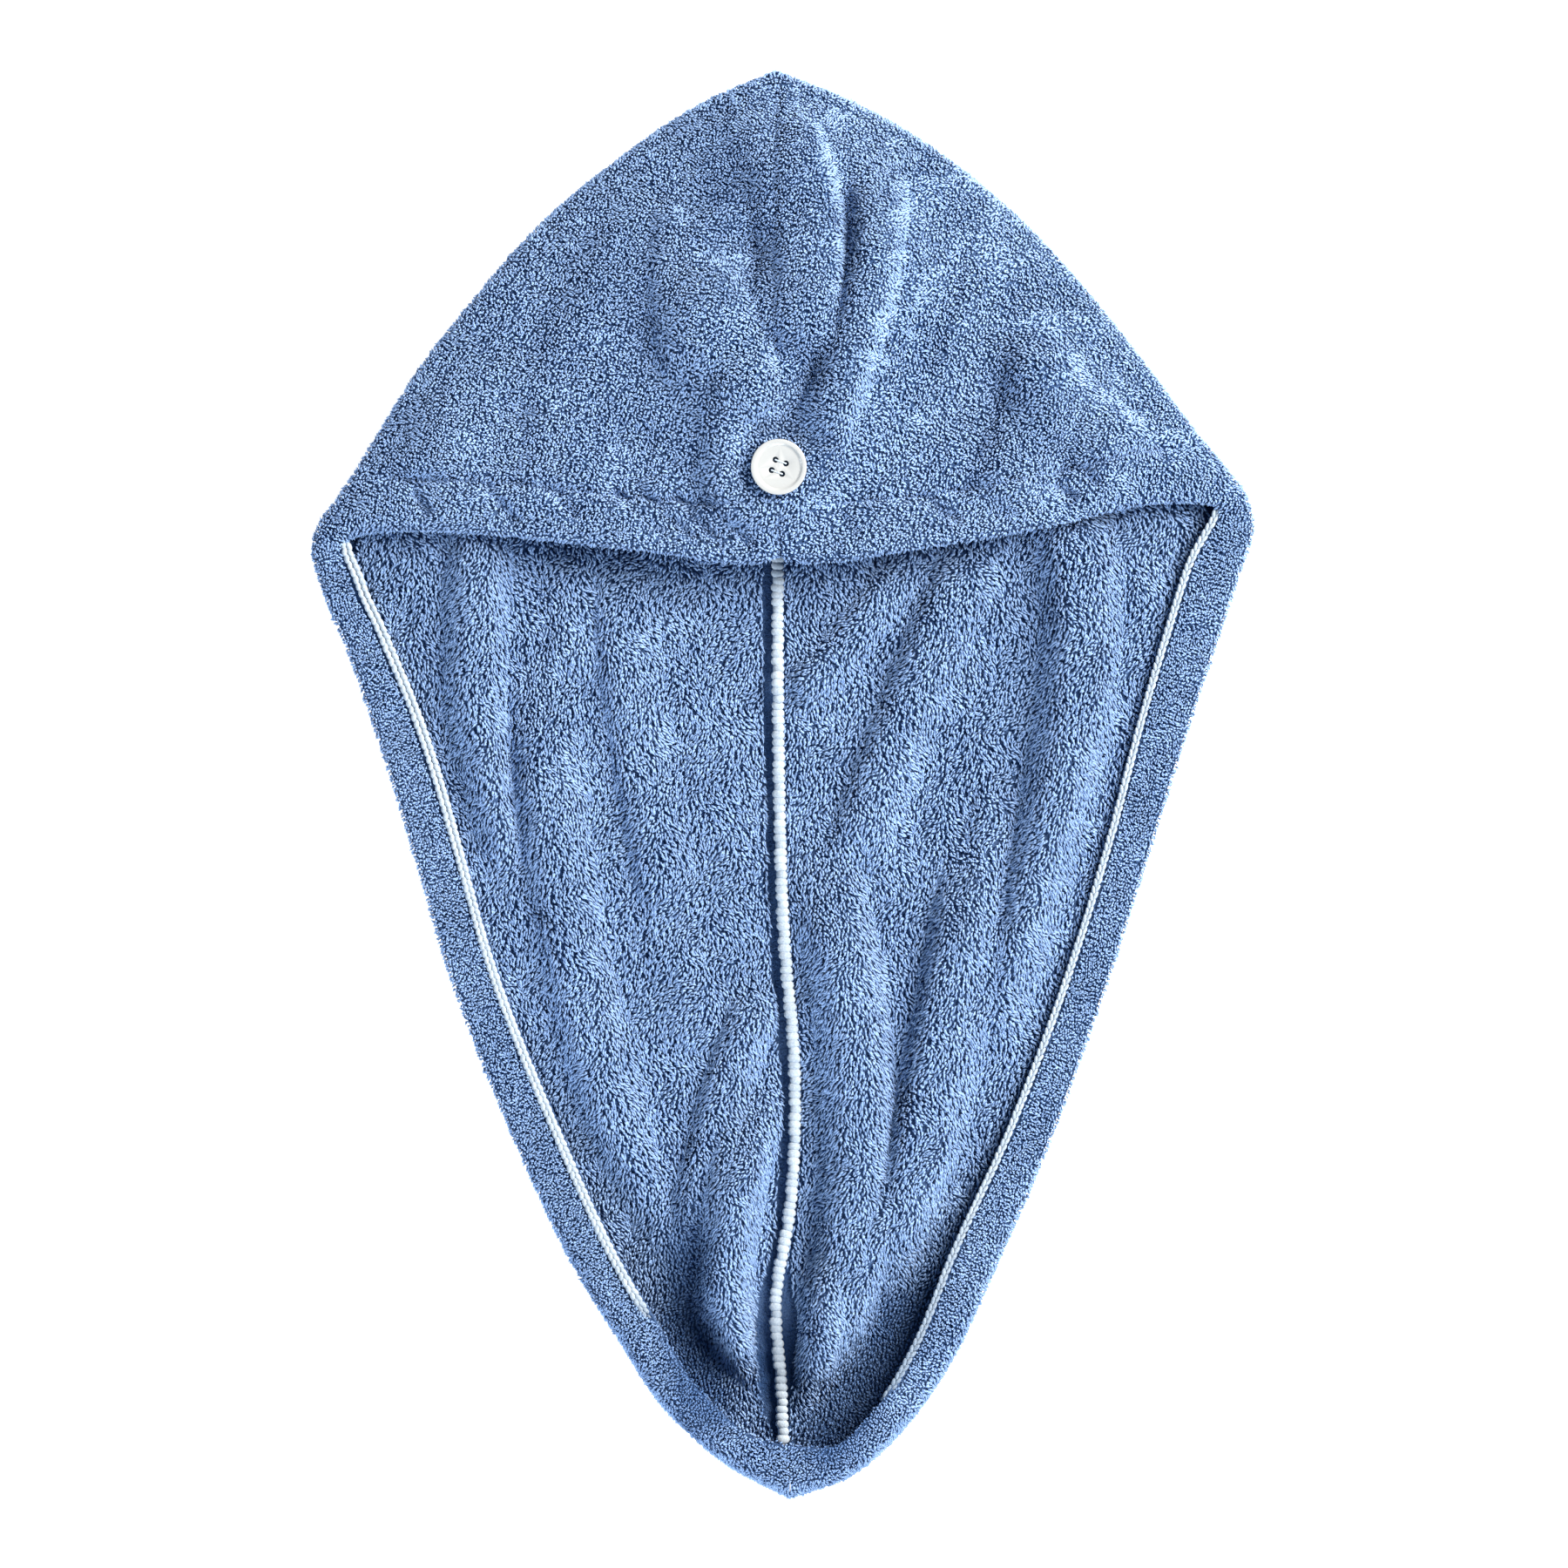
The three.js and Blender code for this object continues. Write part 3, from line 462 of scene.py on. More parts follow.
# Outer and inner faces of one half. Columns run from the free end over the hood or the band,
# round the fold at the outline, and along the back to the seam. Inset thins the wall from its
# outside on the hood and the fold, and from its inside on the back.
def clothFaces(sign, s, hoodShares, rollShares, backShares, inset, gap=towel["seamGap"]):
    curves = sideCurves(sign, s, gap)
    cloth = towel["cloth"]
    roll = curves["roll"][:, None]
    band = curves["band"][:, None]
    free, fold, seam = curves["free"], curves["fold"], curves["seam"]
    share = np.minimum(np.abs(free[:, 0] - seamAt(free[:, 1])) / curves["mouth"], 1)[:, None]
    crown = crownAt(free[:, 1])[:, None]
    freeZ = 2 * roll + (crown - 2 * roll) * (1 - share ** towel["mouthPower"])
    w = np.asarray(hoodShares)[None, :]
    at = blendOf(free[:, None, :], fold[:, None, :], w[..., None])
    x, y = at[..., 0], at[..., 1]
    inward = np.hypot(x - fold[:, :1], y - fold[:, 1:])
    fromEnd = np.hypot(x - free[:, :1], y - free[:, 1:])
    overHem = y - hemY(x)
    dome = (freeZ - 2 * roll) * (1 - w ** towel["domePower"]) ** towel["domeEnd"]
    folds = np.concatenate([hoodDrapes, hoodCreases, puckerFolds()])
    drape = foldHeight(folds, towel["drapeRise"], towel["drapeWidth"], x, y)
    drape = drape + waveHeight(hoodWaves, x, y) - dentDepth(hoodDents, x, y)
    drape = drape * smooth(0, towel["flatFade"], inward)
    inHem = smooth(0, towel["hemWidth"], inward)
    stitched = np.maximum(1 - np.abs(overHem - towel["hemWidth"]) / (towel["grooveWidth"] / 2), 0)
    groove = towel["hemGroove"] * stitched ** towel["groovePower"] * inHem
    hood = 2 * roll + dome + drape - groove
    hood = hood - towel["seamDip"] * np.exp(-(((x - seamAt(y)) / towel["seamDipWidth"]) ** 2))
    fromButton = np.hypot(x - buttonX, y - buttonY)
    seatInner = towel["buttonRadius"] + towel["seatBorder"]
    seated = blendOf(buttonSeat, hood, smooth(seatInner, seatInner + towel["seatFade"], fromButton))
    hem = backHeight(x, y, inward) + 2 * roll + curves["lip"][:, None] * (1 - w)
    pastHem = smooth(-towel["grooveWidth"] / 2, towel["grooveWidth"] / 2, overHem - towel["hemWidth"])
    doubled = (1 - pastHem) * (1 - band)
    wall = cloth + (towel["hoodHem"] - cloth) * doubled * smooth(0, towel["hemTaper"], inward)
    top = blendOf(seated, hem, band)
    bottom = top - wall
    top = top - inset
    # the free end is rounded
    rounding = np.maximum((top - bottom) / 2, towel["leastRounding"])
    bend = np.clip(fromEnd / rounding, 0, 1)
    drop = rounding * (1 - np.sqrt(1 - (1 - bend) ** 2))
    outer = [np.dstack([x, y, top - drop])]
    inner = [np.dstack([x, y, bottom + drop])]
    angle = np.asarray(rollShares)[None, :] * math.pi
    for faces, under in ((outer, inset), (inner, cloth)):
        reach = curves["reach"][:, None] - under
        plan = fold[:, None, :] + curves["outward"][:, None, :] * (reach * np.sin(angle))[..., None]
        faces.append(np.dstack([plan, roll + (roll - under) * np.cos(angle)]))
    w = np.asarray(backShares)[None, :]
    at = blendOf(fold[:, None, :], seam[:, None, :], w[..., None])
    x, y = at[..., 0], at[..., 1]
    floor = backHeight(x, y, np.hypot(x - fold[:, :1], y - fold[:, 1:]))
    outer.append(np.dstack([x, y, np.maximum(floor, 0)]))
    inner.append(np.dstack([x, y, np.maximum(floor, 0) + cloth - inset]))
    return np.concatenate(outer, 1), np.concatenate(inner, 1)


# Mesh building

def meshPiece(name, points, faces, material):
    mesh = bpy.data.meshes.new(name)
    faces = np.asarray(faces, np.int32)
    sides = faces.shape[1]
    mesh.vertices.add(len(points))
    mesh.vertices.foreach_set("co", (np.asarray(points) * mm).astype(np.float32).ravel())
    mesh.loops.add(faces.size)
    mesh.loops.foreach_set("vertex_index", faces.ravel())
    mesh.polygons.add(len(faces))
    mesh.polygons.foreach_set("loop_start", np.arange(0, faces.size, sides, dtype=np.int32))
    mesh.update(calc_edges=True)
    mesh.shade_smooth()
    mesh.materials.append(material)
    piece = bpy.data.objects.new(name, mesh)
    bpy.context.scene.collection.objects.link(piece)
    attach(piece, "root")
    return piece


def volumeOf(points, faces):
    a, b, c = (points[faces[:, i]] for i in (0, 1, 2))
    volume = np.einsum("ij,ij->i", a, np.cross(b, c)).sum()
    if faces.shape[1] == 4:
        d = points[faces[:, 3]]
        volume += np.einsum("ij,ij->i", a, np.cross(c, d)).sum()
    return volume


# Four-sided faces between rings of points, each ring closed on itself
def ringFaces(rows, count):
    i, j = np.meshgrid(np.arange(rows - 1), np.arange(count), indexing="ij")
    k = (j + 1) % count
    corners = [i * count + j, i * count + k, (i + 1) * count + k, (i + 1) * count + j]
    return np.stack(corners, -1).reshape(-1, 4)


# Closed body lofted through rings of points, with both ends capped by strips
def loftPiece(name, rings, front, material):
    rows, count = rings.shape[:2]
    points = rings.reshape(-1, 3)
    faces = ringFaces(rows, count)
    j = np.arange(front - 1)
    cap = np.stack([j, j + 1, count - 2 - j, count - 1 - j], -1)
    faces = np.concatenate([faces, cap[:, ::-1], (rows - 1) * count + cap])
    if volumeOf(points, faces) < 0:
        faces = faces[:, ::-1]
    return meshPiece(name, points, faces, material)


# Materials

def newMaterial(name, roughness, sheen, specular=0.08):
    material = bpy.data.materials.new(name)
    material.use_nodes = True
    nodes = material.node_tree.nodes
    shader = nodes["Principled BSDF"]
    shader.inputs["Roughness"].default_value = roughness
    shader.inputs["Sheen Weight"].default_value = sheen
    shader.inputs["Specular IOR Level"].default_value = specular
    return material, nodes, material.node_tree.links, shader


# Noise by the place on the piece
def addNoise(nodes, links, scale, detail, roughness=0.5):
    where = nodes.new("ShaderNodeTexCoord")
    noise = nodes.new("ShaderNodeTexNoise")
    noise.inputs["Scale"].default_value = scale
    noise.inputs["Detail"].default_value = detail
    noise.inputs["Roughness"].default_value = roughness
    links.new(where.outputs["Object"], noise.inputs["Vector"])
    return noise.outputs["Fac"]


def addAttribute(nodes, name):
    attribute = nodes.new("ShaderNodeAttribute")
    attribute.attribute_name = name
    return attribute.outputs["Fac"]


def addRange(nodes, links, value, span, result):
    spread = nodes.new("ShaderNodeMapRange")
    spread.inputs["From Min"].default_value = span[0]
    spread.inputs["From Max"].default_value = span[1]
    spread.inputs["To Min"].default_value = result[0]
    spread.inputs["To Max"].default_value = result[1]
    links.new(value, spread.inputs["Value"])
    return spread.outputs["Result"]


def addMath(nodes, links, operation, first, second, clamped=False):
    node = nodes.new("ShaderNodeMath")
    node.operation = operation
    node.use_clamp = clamped
    links.new(first, node.inputs[0])
    links.new(second, node.inputs[1])
    return node.outputs[0]


def addColours(nodes, links, factor, shader, colours):
    mix = nodes.new("ShaderNodeMix")
    mix.data_type = "RGBA"
    mix.inputs["A"].default_value = colours[0]
    mix.inputs["B"].default_value = colours[1]
    links.new(factor, mix.inputs["Factor"])
    links.new(mix.outputs["Result"], shader.inputs["Base Color"])


def addBump(nodes, links, height, shader, strength, distance):
    bump = nodes.new("ShaderNodeBump")
    bump.inputs["Strength"].default_value = strength
    bump.inputs["Distance"].default_value = distance
    links.new(height, bump.inputs["Height"])
    links.new(bump.outputs["Normal"], shader.inputs["Normal"])


dyeAndShade = {
    # ground is the cloth's colour in the painted shade under and between the tufts, and deep is the painted
    # shade at the tufts' roots
    "ground": (0.032, 0.076, 0.19, 1),
    "deep": (0.064, 0.134, 0.3, 1),
    "bright": (0.322, 0.468, 0.735, 1),
    "patchScale": 28,
    "patchSpan": [0.3, 0.7],
    "patchShade": [-0.1, 0.1],
}


# Colours of the dye with its random patches, mixed by painted shade and by tint, shared by the pile and by
# the cloth that it stands on
def dyeAndShadeGroup():
    group = bpy.data.node_groups.new("fleeceDyeAndShade", "ShaderNodeTree")
    sockets = group.interface
    for name, kind in (("Deep", "Color"), ("Bright", "Color"), ("Height", "Float"), ("Tint", "Float")):
        sockets.new_socket(name, in_out="INPUT", socket_type="NodeSocket" + kind)
    sockets.new_socket("Color", in_out="OUTPUT", socket_type="NodeSocketColor")
    nodes, links = group.nodes, group.links
    start = nodes.new("NodeGroupInput")
    end = nodes.new("NodeGroupOutput")
    patches = addNoise(nodes, links, dyeAndShade["patchScale"], 3)
    shades = addRange(nodes, links, patches, dyeAndShade["patchSpan"], dyeAndShade["patchShade"])
    # Height carries the painted shade at the tufts' roots, and the cloth's speckles times its painted shade
    total = addMath(nodes, links, "ADD", start.outputs["Height"], shades)
    tinted = addMath(nodes, links, "ADD", total, start.outputs["Tint"], clamped=True)
    mix = nodes.new("ShaderNodeMix")
    mix.data_type = "RGBA"
    links.new(tinted, mix.inputs["Factor"])
    links.new(start.outputs["Deep"], mix.inputs["A"])
    links.new(start.outputs["Bright"], mix.inputs["B"])
    links.new(mix.outputs["Result"], end.inputs["Color"])
    return group


fleeceDyeAndShade = dyeAndShadeGroup()


def addDyeAndShade(nodes, links, shader, deep, height):
    shade = nodes.new("ShaderNodeGroup")
    shade.node_tree = fleeceDyeAndShade
    shade.inputs["Deep"].default_value = deep
    shade.inputs["Bright"].default_value = dyeAndShade["bright"]
    links.new(height, shade.inputs["Height"])
    links.new(shade.outputs["Color"], shader.inputs["Base Color"])
    return shade


# Tufts: painted shade darkens them at the root, pale at the tip, each with a tint of its own and with painted
# light and shade in patches and hollows
def pileMaterial():
    material, nodes, links, shader = newMaterial("fleecePile", roughness=0.95, sheen=0.08)
    shade = addDyeAndShade(nodes, links, shader, dyeAndShade["deep"], addAttribute(nodes, "outOfRootShade"))
    links.new(addAttribute(nodes, "tintAndPaintedShade"), shade.inputs["Tint"])
    return material


shortPile = {
    "scale": 700,
    "roughness": 0.65,
    "span": [0.33, 0.7],
    "leftInShade": 0.12,  # share of its brightness that is left in the painted shade under the tufts and beside the seam
    "bump": [0.9, 0.0012],  # strength and depth
}


# Ground of the fleece: painted shade makes it dark under and between the tufts and in the slots beside the
# seam, and elsewhere it shows short speckled pile
def groundMaterial():
    material, nodes, links, shader = newMaterial("fleeceGround", roughness=0.95, sheen=0.05)
    speckles = addNoise(nodes, links, shortPile["scale"], 3, shortPile["roughness"])
    height = addRange(nodes, links, speckles, shortPile["span"], [0, 1])
    # painted shade: the speckles keep only this share of their brightness where the attribute is 0
    shown = addRange(nodes, links, addAttribute(nodes, "clearOfShade"), [0, 1], [shortPile["leftInShade"], 1])
    addDyeAndShade(nodes, links, shader, dyeAndShade["ground"], addMath(nodes, links, "MULTIPLY", height, shown))
    addBump(nodes, links, height, shader, *shortPile["bump"])
    return material


thread = {
    "between": (0.1, 0.15, 0.23, 1),
    "white": (0.43, 0.49, 0.55, 1),
    "scale": 1300,
    "span": [0.35, 0.65],
    "shade": [-0.2, 0.12],
    "bump": [0.6, 0.0003],
}


# Thread of the overlocked edges: dark grey where shade is painted between the stitches, with fine strands
def threadMaterial():
    material, nodes, links, shader = newMaterial("whiteOverlock", roughness=0.75, sheen=0.15)
    strands = addNoise(nodes, links, thread["scale"], 2)
    spread = addRange(nodes, links, strands, thread["span"], thread["shade"])
    total = addMath(nodes, links, "ADD", addAttribute(nodes, "whiteness"), spread, clamped=True)
    addColours(nodes, links, total, shader, [thread["between"], thread["white"]])
    addBump(nodes, links, strands, shader, *thread["bump"])
    return material


plastic = {
    "colours": [(0.37, 0.38, 0.38, 1), (0.42, 0.43, 0.43, 1)],
    "roughness": 0.32,
    "coat": 0.3,
    "coatRoughness": 0.15,
    "scale": 160,
    "bump": [0.15, 0.0003],
}


# Moulded plastic, faintly clouded and not quite flat
def plasticMaterial():
    material, nodes, links, shader = newMaterial("buttonPlastic", plastic["roughness"], 0, specular=0.5)
    shader.inputs["Coat Weight"].default_value = plastic["coat"]
    shader.inputs["Coat Roughness"].default_value = plastic["coatRoughness"]
    cloud = addNoise(nodes, links, plastic["scale"], 3)
    addColours(nodes, links, cloud, shader, plastic["colours"])
    addBump(nodes, links, cloud, shader, *plastic["bump"])
    return material


pile = pileMaterial()
ground = groundMaterial()
overlock = threadMaterial()
buttonPlastic = plasticMaterial()
print("materials made")


# Cloth of both halves

clothSteps = {"along": 190, "hood": 32, "roll": 9, "back": 50}
endShares = [0, 0.004, 0.012, 0.025]  # columns close together at the rounded free end
seamwardPower = 1.3  # columns of the back lie closer together near the seam
underPile = 20  # the cloth is painted dark as shade up to this far under the hood
rollWithPile = 0.62  # share of the turn that carries tufts, from the top


def columnShares(hood, roll, back):
    hoodShares = np.concatenate([endShares[:-1], blendOf(endShares[-1], 1, np.linspace(0, 1, hood))])
    rollShares = np.arange(1, roll) / roll
    backShares = 1 - (1 - np.linspace(0, 1, back)) ** seamwardPower
    return hoodShares, rollShares, backShares


def clothPiece(side, sign):
    s = np.linspace(0, alongEnd, clothSteps["along"])
    shares = columnShares(clothSteps["hood"], clothSteps["roll"], clothSteps["back"])
    outer, inner = clothFaces(sign, s, *shares, towel["sink"])
    # the halves meet at the hood's seam
    x, y = outer[..., 0], outer[..., 1]
    beside = (x - seamAt(y)) * sign < towel["seamGap"]
    outer[..., 0] = np.where(beside & (y > hemY(x)), seamAt(y), x)
    rings = np.concatenate([outer, inner[:, ::-1]], 1)
    piece = loftPiece(side + "PanelCloth", rings, outer.shape[1], ground)
    # 1 where the cloth's own short pile shows, 0 where its colour is painted dark as shade: under the tufts,
    # and on the inside of the back up to underPile beneath the hood, slots included
    turned = len(shares[0]) + int(len(shares[1]) * rollWithPile)
    clearOuter = np.ones(outer.shape[:2])
    clearOuter[:, :turned] = 0
    clearInner = np.ones(inner.shape[:2])
    start = len(shares[0]) + len(shares[1])
    back = inner[:, start:]
    clearInner[:, start:] = back[..., 1] > hemY(back[..., 0]) + underPile
    clearOfShade = piece.data.attributes.new("clearOfShade", "FLOAT", "POINT")
    values = np.concatenate([clearOuter, clearInner[:, ::-1]], 1)
    clearOfShade.data.foreach_set("value", values.astype(np.float32).ravel())
    return piece


sides = (("left", -1), ("right", 1))
cloths = {side: clothPiece(side, sign) for side, sign in sides}
for side, sign in sides:
    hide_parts(side + "_panel")
print("cloth laid")


# Pile

outsidePile = {
    "most": 31500,
    "length": 2.2,
    "radius": 0.64,
    "lean": 36,  # degrees from upright
    "leanSpread": 18,
    "heading": -90,  # degrees in plan that the pile is brushed to
    "headingSwing": 150,
    "swingPitch": 9,
    "curl": [1.7, 2.1],  # size of a curl across and along
    "gather": [0.27, 0.2],  # share of the way that tufts lean to their curl's middle
    "seed": 11,
}
insidePile = {
    "most": 31500,
    "length": 3.4,
    "radius": 0.7,
    "lean": 50,
    "leanSpread": 14,
    "heading": -90,
    "headingSwing": 60,
    "swingPitch": 12,
    "curl": [1.8, 3.3],
    "gather": [0.27, 0.13],
    "seed": 21,
}
tufts = {
    "scatter": 0.75,  # share of its cell over which a root may stand
    "fineSwing": [0.6, 3.0],  # lesser swing of the heading, and its pitch
    "headingSpread": 9,  # degrees
    "leanSpread": 0.6,
    "sizeSpread": 0.14,
    "sizes": [0.6, 1.4],
    "inHollow": 0.35,  # shorter by this share in the dark hollows
    "rootDepth": 0.4,
    "rootRise": 0.2,  # how straight the tuft leaves the cloth
    "bellyRise": 0.6,
    "bellyWidth": 1.25,
    "radii": [0.8, 1.2],
    "leastHeight": 0.05,  # above the floor
    "bellyShade": 0.6,  # painted shade, from 0 at the root to 1 at the tip
}
mapTriangle = {"turns": [210, 330, 90], "radius": 0.42, "root": [0, -0.1]}  # of a tuft's map square
curlLook = {"cells": 512, "bend": 1.6, "bendPitch": 6, "jitter": 0.3}
# random shades of the curls and tufts, painted shade in the hollows, and how much darker the band and the
# inside are
pileShades = {"curl": 0.08, "tuft": 0.05, "hollowPaintedShade": 0.55, "band": 0.1, "inside": 0.04}
# across, down, shade, width and length of patches of painted light and shade, where the pile's colour is made
# lighter or darker
paintedShadePatches = rowsOf(
    [-0.12, 0.085, -0.26, 20, 34],
    [-0.34, 0.135, -0.16, 16, 18],
    [-0.13, 0.155, -0.12, 22, 9],
    [-0.11, 0.205, 0.1, 18, 11],
    [-0.64, 0.245, 0.07, 22, 18],
    [0.16, 0.035, 0.08, 26, 10],
    [0.255, 0.115, -0.14, 8, 24],
    [0.2, 0.1, -0.1, 18, 16],
    [0.09, 0.105, -0.16, 9, 12],
    [0.13, 0.19, -0.14, 6, 26],
    [-0.22, 0.27, -0.14, 7, 22],
    [0.58, 0.24, -0.16, 16, 16],
    [0.84, 0.24, 0.1, 14, 12],
    [-0.05, 0.21, 0.1, 7, 12],
)
sleek = {"pitch": 26, "stretch": 1.7, "least": 0.35, "soft": 0.4, "seed": 8}  # smoother patches


def paintedPatchShade(x, y):
    shade = np.zeros_like(x)
    for across, down, amount, width, length in paintedShadePatches:
        reach = ((x - across * halfWidth) / width) ** 2 + ((y - downToY(down)) / length) ** 2
        shade += amount * np.exp(-reach)
    return shade


def normalsOf(grid, sign):
    down = np.gradient(grid, axis=0)
    across = np.gradient(grid, axis=1)
    normal = np.cross(down, across) * sign
    return normal / np.maximum(np.linalg.norm(normal, axis=-1, keepdims=True), 1e-9)


# Middle and shade of the curl that each place belongs to, in rows of uneven cells
def curlsAt(x, y, look):
    rng = np.random.default_rng(look["seed"] + 5)
    size = curlLook["cells"]
    wide, tall = look["curl"]
    x = x + curlLook["bend"] * softNoise(x, y, curlLook["bendPitch"], look["seed"] + 2)
    y = y + curlLook["bend"] * softNoise(x, y, curlLook["bendPitch"], look["seed"] + 3)
    row = np.floor(y / tall).astype(int)
    shift = rng.random(size)[row % size]
    column = np.floor(x / wide + shift).astype(int)
    most = curlLook["jitter"]
    jitter = rng.uniform(-most, most, (2, size, size))[:, row % size, column % size]
    shade = rng.normal(0, 1, (size, size))[row % size, column % size]
    toX = (column + 0.5 - shift + jitter[0]) * wide - x
    toY = (row + 0.5 + jitter[1]) * tall - y
    return toX, toY, shade


# Tufts of pile, each a closed body of six faces, scattered over a surface and combed into curls.
# Keep is 0 where none grow, and the last argument gives the pile's tone and its painted light and shade at a
# place.
def growPile(name, grid, normals, keep, look, toneAndShadeAt):
    rng = np.random.default_rng(look["seed"])
    a, b, c, d = grid[:-1, :-1], grid[1:, :-1], grid[:-1, 1:], grid[1:, 1:]
    area = np.linalg.norm(np.cross(d - a, c - b), axis=-1) / 2 * keep
    total = np.cumsum(area.ravel())
    count = look["most"]
    picks = (np.arange(count) + 0.5 + 0.5 * (rng.random(count) - 0.5)) / count * total[-1]
    cell = np.minimum(np.searchsorted(total, picks), total.size - 1)
    i, j = np.unravel_index(cell, area.shape)
    u, v = 0.5 + tufts["scatter"] * (rng.random((2, count, 1)) - 0.5)

    def inCell(values):
        low = blendOf(values[i, j], values[i + 1, j], u)
        high = blendOf(values[i, j + 1], values[i + 1, j + 1], u)
        return blendOf(low, high, v)

    root = inCell(grid)
    up = inCell(normals)
    up /= np.linalg.norm(up, axis=1, keepdims=True)
    x, y = root[:, 0], root[:, 1]
    fineSwing, finePitch = tufts["fineSwing"]
    swing = softNoise(x, y, look["swingPitch"], look["seed"])
    swing = swing + fineSwing * softNoise(x, y, finePitch, look["seed"] + 1)
    ownHeading = rng.normal(0, tufts["headingSpread"], count)
    heading = np.radians(look["heading"] + look["headingSwing"] * swing + ownHeading)
    brushed = np.stack([np.cos(heading), np.sin(heading), np.zeros(count)], -1)
    brushed -= up * np.einsum("ij,ij->i", brushed, up)[:, None]
    brushed /= np.maximum(np.linalg.norm(brushed, axis=1, keepdims=True), 1e-6)
    sideways = np.cross(up, brushed)
    toX, toY, curl = curlsAt(x, y, look)
    patch = softNoise(x, y / sleek["stretch"], sleek["pitch"], sleek["seed"])
    loose = sleek["least"] + (1 - sleek["least"]) * smooth(-sleek["soft"], sleek["soft"], patch)
    curl *= loose
    gather = np.stack([toX * look["gather"][0], toY * look["gather"][1], np.zeros(count)], -1)
    gather *= loose[:, None]
    ownLean = rng.normal(0, tufts["leanSpread"], count)
    lean = np.radians(look["lean"] + look["leanSpread"] * ownLean)[:, None]
    ownSize = (1 + tufts["sizeSpread"] * rng.normal(0, 1, count)).clip(*tufts["sizes"])
    size = look["length"] * ownSize[:, None]
    dark = hollowShare(x, y)
    size *= 1 - tufts["inHollow"] * dark[:, None]
    axis = up * np.cos(lean) + brushed * np.sin(lean)
    belly = root + blendOf(axis, up, tufts["bellyRise"]) * size / 2 + gather * tufts["bellyRise"]
    tip = root + blendOf(axis, up, tufts["rootRise"]) * size + gather
    spin = rng.uniform(0, 2 * math.pi, count)
    radius = look["radius"] * rng.uniform(*tufts["radii"], count)
    points = [root - up * tufts["rootDepth"]]
    for k in range(3):
        turned = spin + k * 2 * math.pi / 3
        ring = brushed * (radius * tufts["bellyWidth"] * np.cos(turned))[:, None]
        ring += sideways * (radius * np.sin(turned))[:, None]
        points.append(belly + ring)
    points.append(tip)
    points = np.stack(points, 1).reshape(-1, 3)
    points[:, 2] = np.maximum(points[:, 2], tufts["leastHeight"])
    corners = [[0, 2, 1], [0, 3, 2], [0, 1, 3], [1, 2, 4], [2, 3, 4], [3, 1, 4]]
    faces = (np.arange(count)[:, None, None] * 5 + np.array(corners)).reshape(-1, 3)
    piece = meshPiece(name, points, faces, pile)
    mesh = piece.data
    # painted shade from root to tip, the shade of every tuft, and a small square of the map for each
    outOfRootShade = mesh.attributes.new("outOfRootShade", "FLOAT", "POINT")
    heights = [0] + [tufts["bellyShade"]] * 3 + [1]
    outOfRootShade.data.foreach_set("value", np.tile(heights, count).astype(np.float32))
    tintAndPaintedShade = mesh.attributes.new("tintAndPaintedShade", "FLOAT", "POINT")
    shades = pileShades["tuft"] * rng.normal(0, 1, count) + pileShades["curl"] * curl
    # the tone and the painted light and shade of the place, less the painted shade of the hollows
    shades += toneAndShadeAt(x, y) - pileShades["hollowPaintedShade"] * dark
    tintAndPaintedShade.data.foreach_set("value", np.repeat(shades, 5).astype(np.float32))
    across = math.ceil(math.sqrt(count))
    turns = np.radians(mapTriangle["turns"])
    ring = np.stack([np.cos(turns), np.sin(turns)], -1)
    spots = np.concatenate([[mapTriangle["root"]], ring * mapTriangle["radius"], [[0, 0]]]) + 0.5
    index = np.arange(count)
    square = np.stack([index % across, index // across], -1)[:, None, :]
    places = (square + spots[np.array(corners).ravel()][None]) / across
    layer = mesh.uv_layers.new(name="OFBake")
    layer.data.foreach_set("uv", places.astype(np.float32).ravel())
    return piece


leftStitching = {
    "first": 0.458,  # shares of the outline's rows
    "last": 0.856,
    "pitch": 3.4,
    "rows": [-2.9, -0.5],  # places of the two chains, inward from the cloth's end
    "narrowRows": [-3.6, -1.7],
    "narrowFrom": 0.62,
    "narrowTo": 0.68,
    "fadeFrom": 0.83,
    "bead": [2.3, 1.3, 1.15],  # half sizes along, across and up
    "slant": 14,  # degrees, the other way in the second chain
    "slantSpread": 4,
    "stagger": [0.3, 0.8],  # shares of the pitch at which the chains begin
    "sizes": [0.93, 1.07],
    "shades": [0.8, 1.0],
    "fade": 0.65,  # share of the whiteness lost where the pile hides the thread
    "lift": 0.9,
    "cover": 4.9,  # width of the cloth that the thread hides
    "whiteness": 1.0,
    "coreHeight": 1.7,
    "tuckIn": [2.6, 0.03],  # how deep its end goes in under the pile, and over which share
    "seed": 31,
}
rightStitching = {
    **leftStitching,
    "last": 0.895,
    "rows": [-1.2, 0.4],
    "narrowRows": [-1.1, 0.4],
    "fadeFrom": 0.76,
    "bead": [2.2, 0.95, 1.0],
    "lift": 0.8,
    "cover": 2.6,
    # painted shade: the right edging is dimmer, as it faces away from the light
    "whiteness": 0.82,
    "seed": 32,
}
hemStitching = {"left": leftStitching, "right": rightStitching}
edgeSteps = 260  # along an edging
pileSteps = {"along": 590, "hood": 90, "roll": 28, "back": 150}
shadowedBack = 30  # tufts go on this far under the hood
pileOverlap = -0.3  # the tufts of both halves mingle over the seam
sewnFade = [0.004, 0.02]  # shares of the outline over which the thread begins and ends
underBand = 1.5  # the back's tufts begin this far under the turned-in band
hoodBorder = 0.6  # and this share of the hem's width from the fold under the hood
slotEdge = 0.35  # no tufts where a slot is deeper than this share


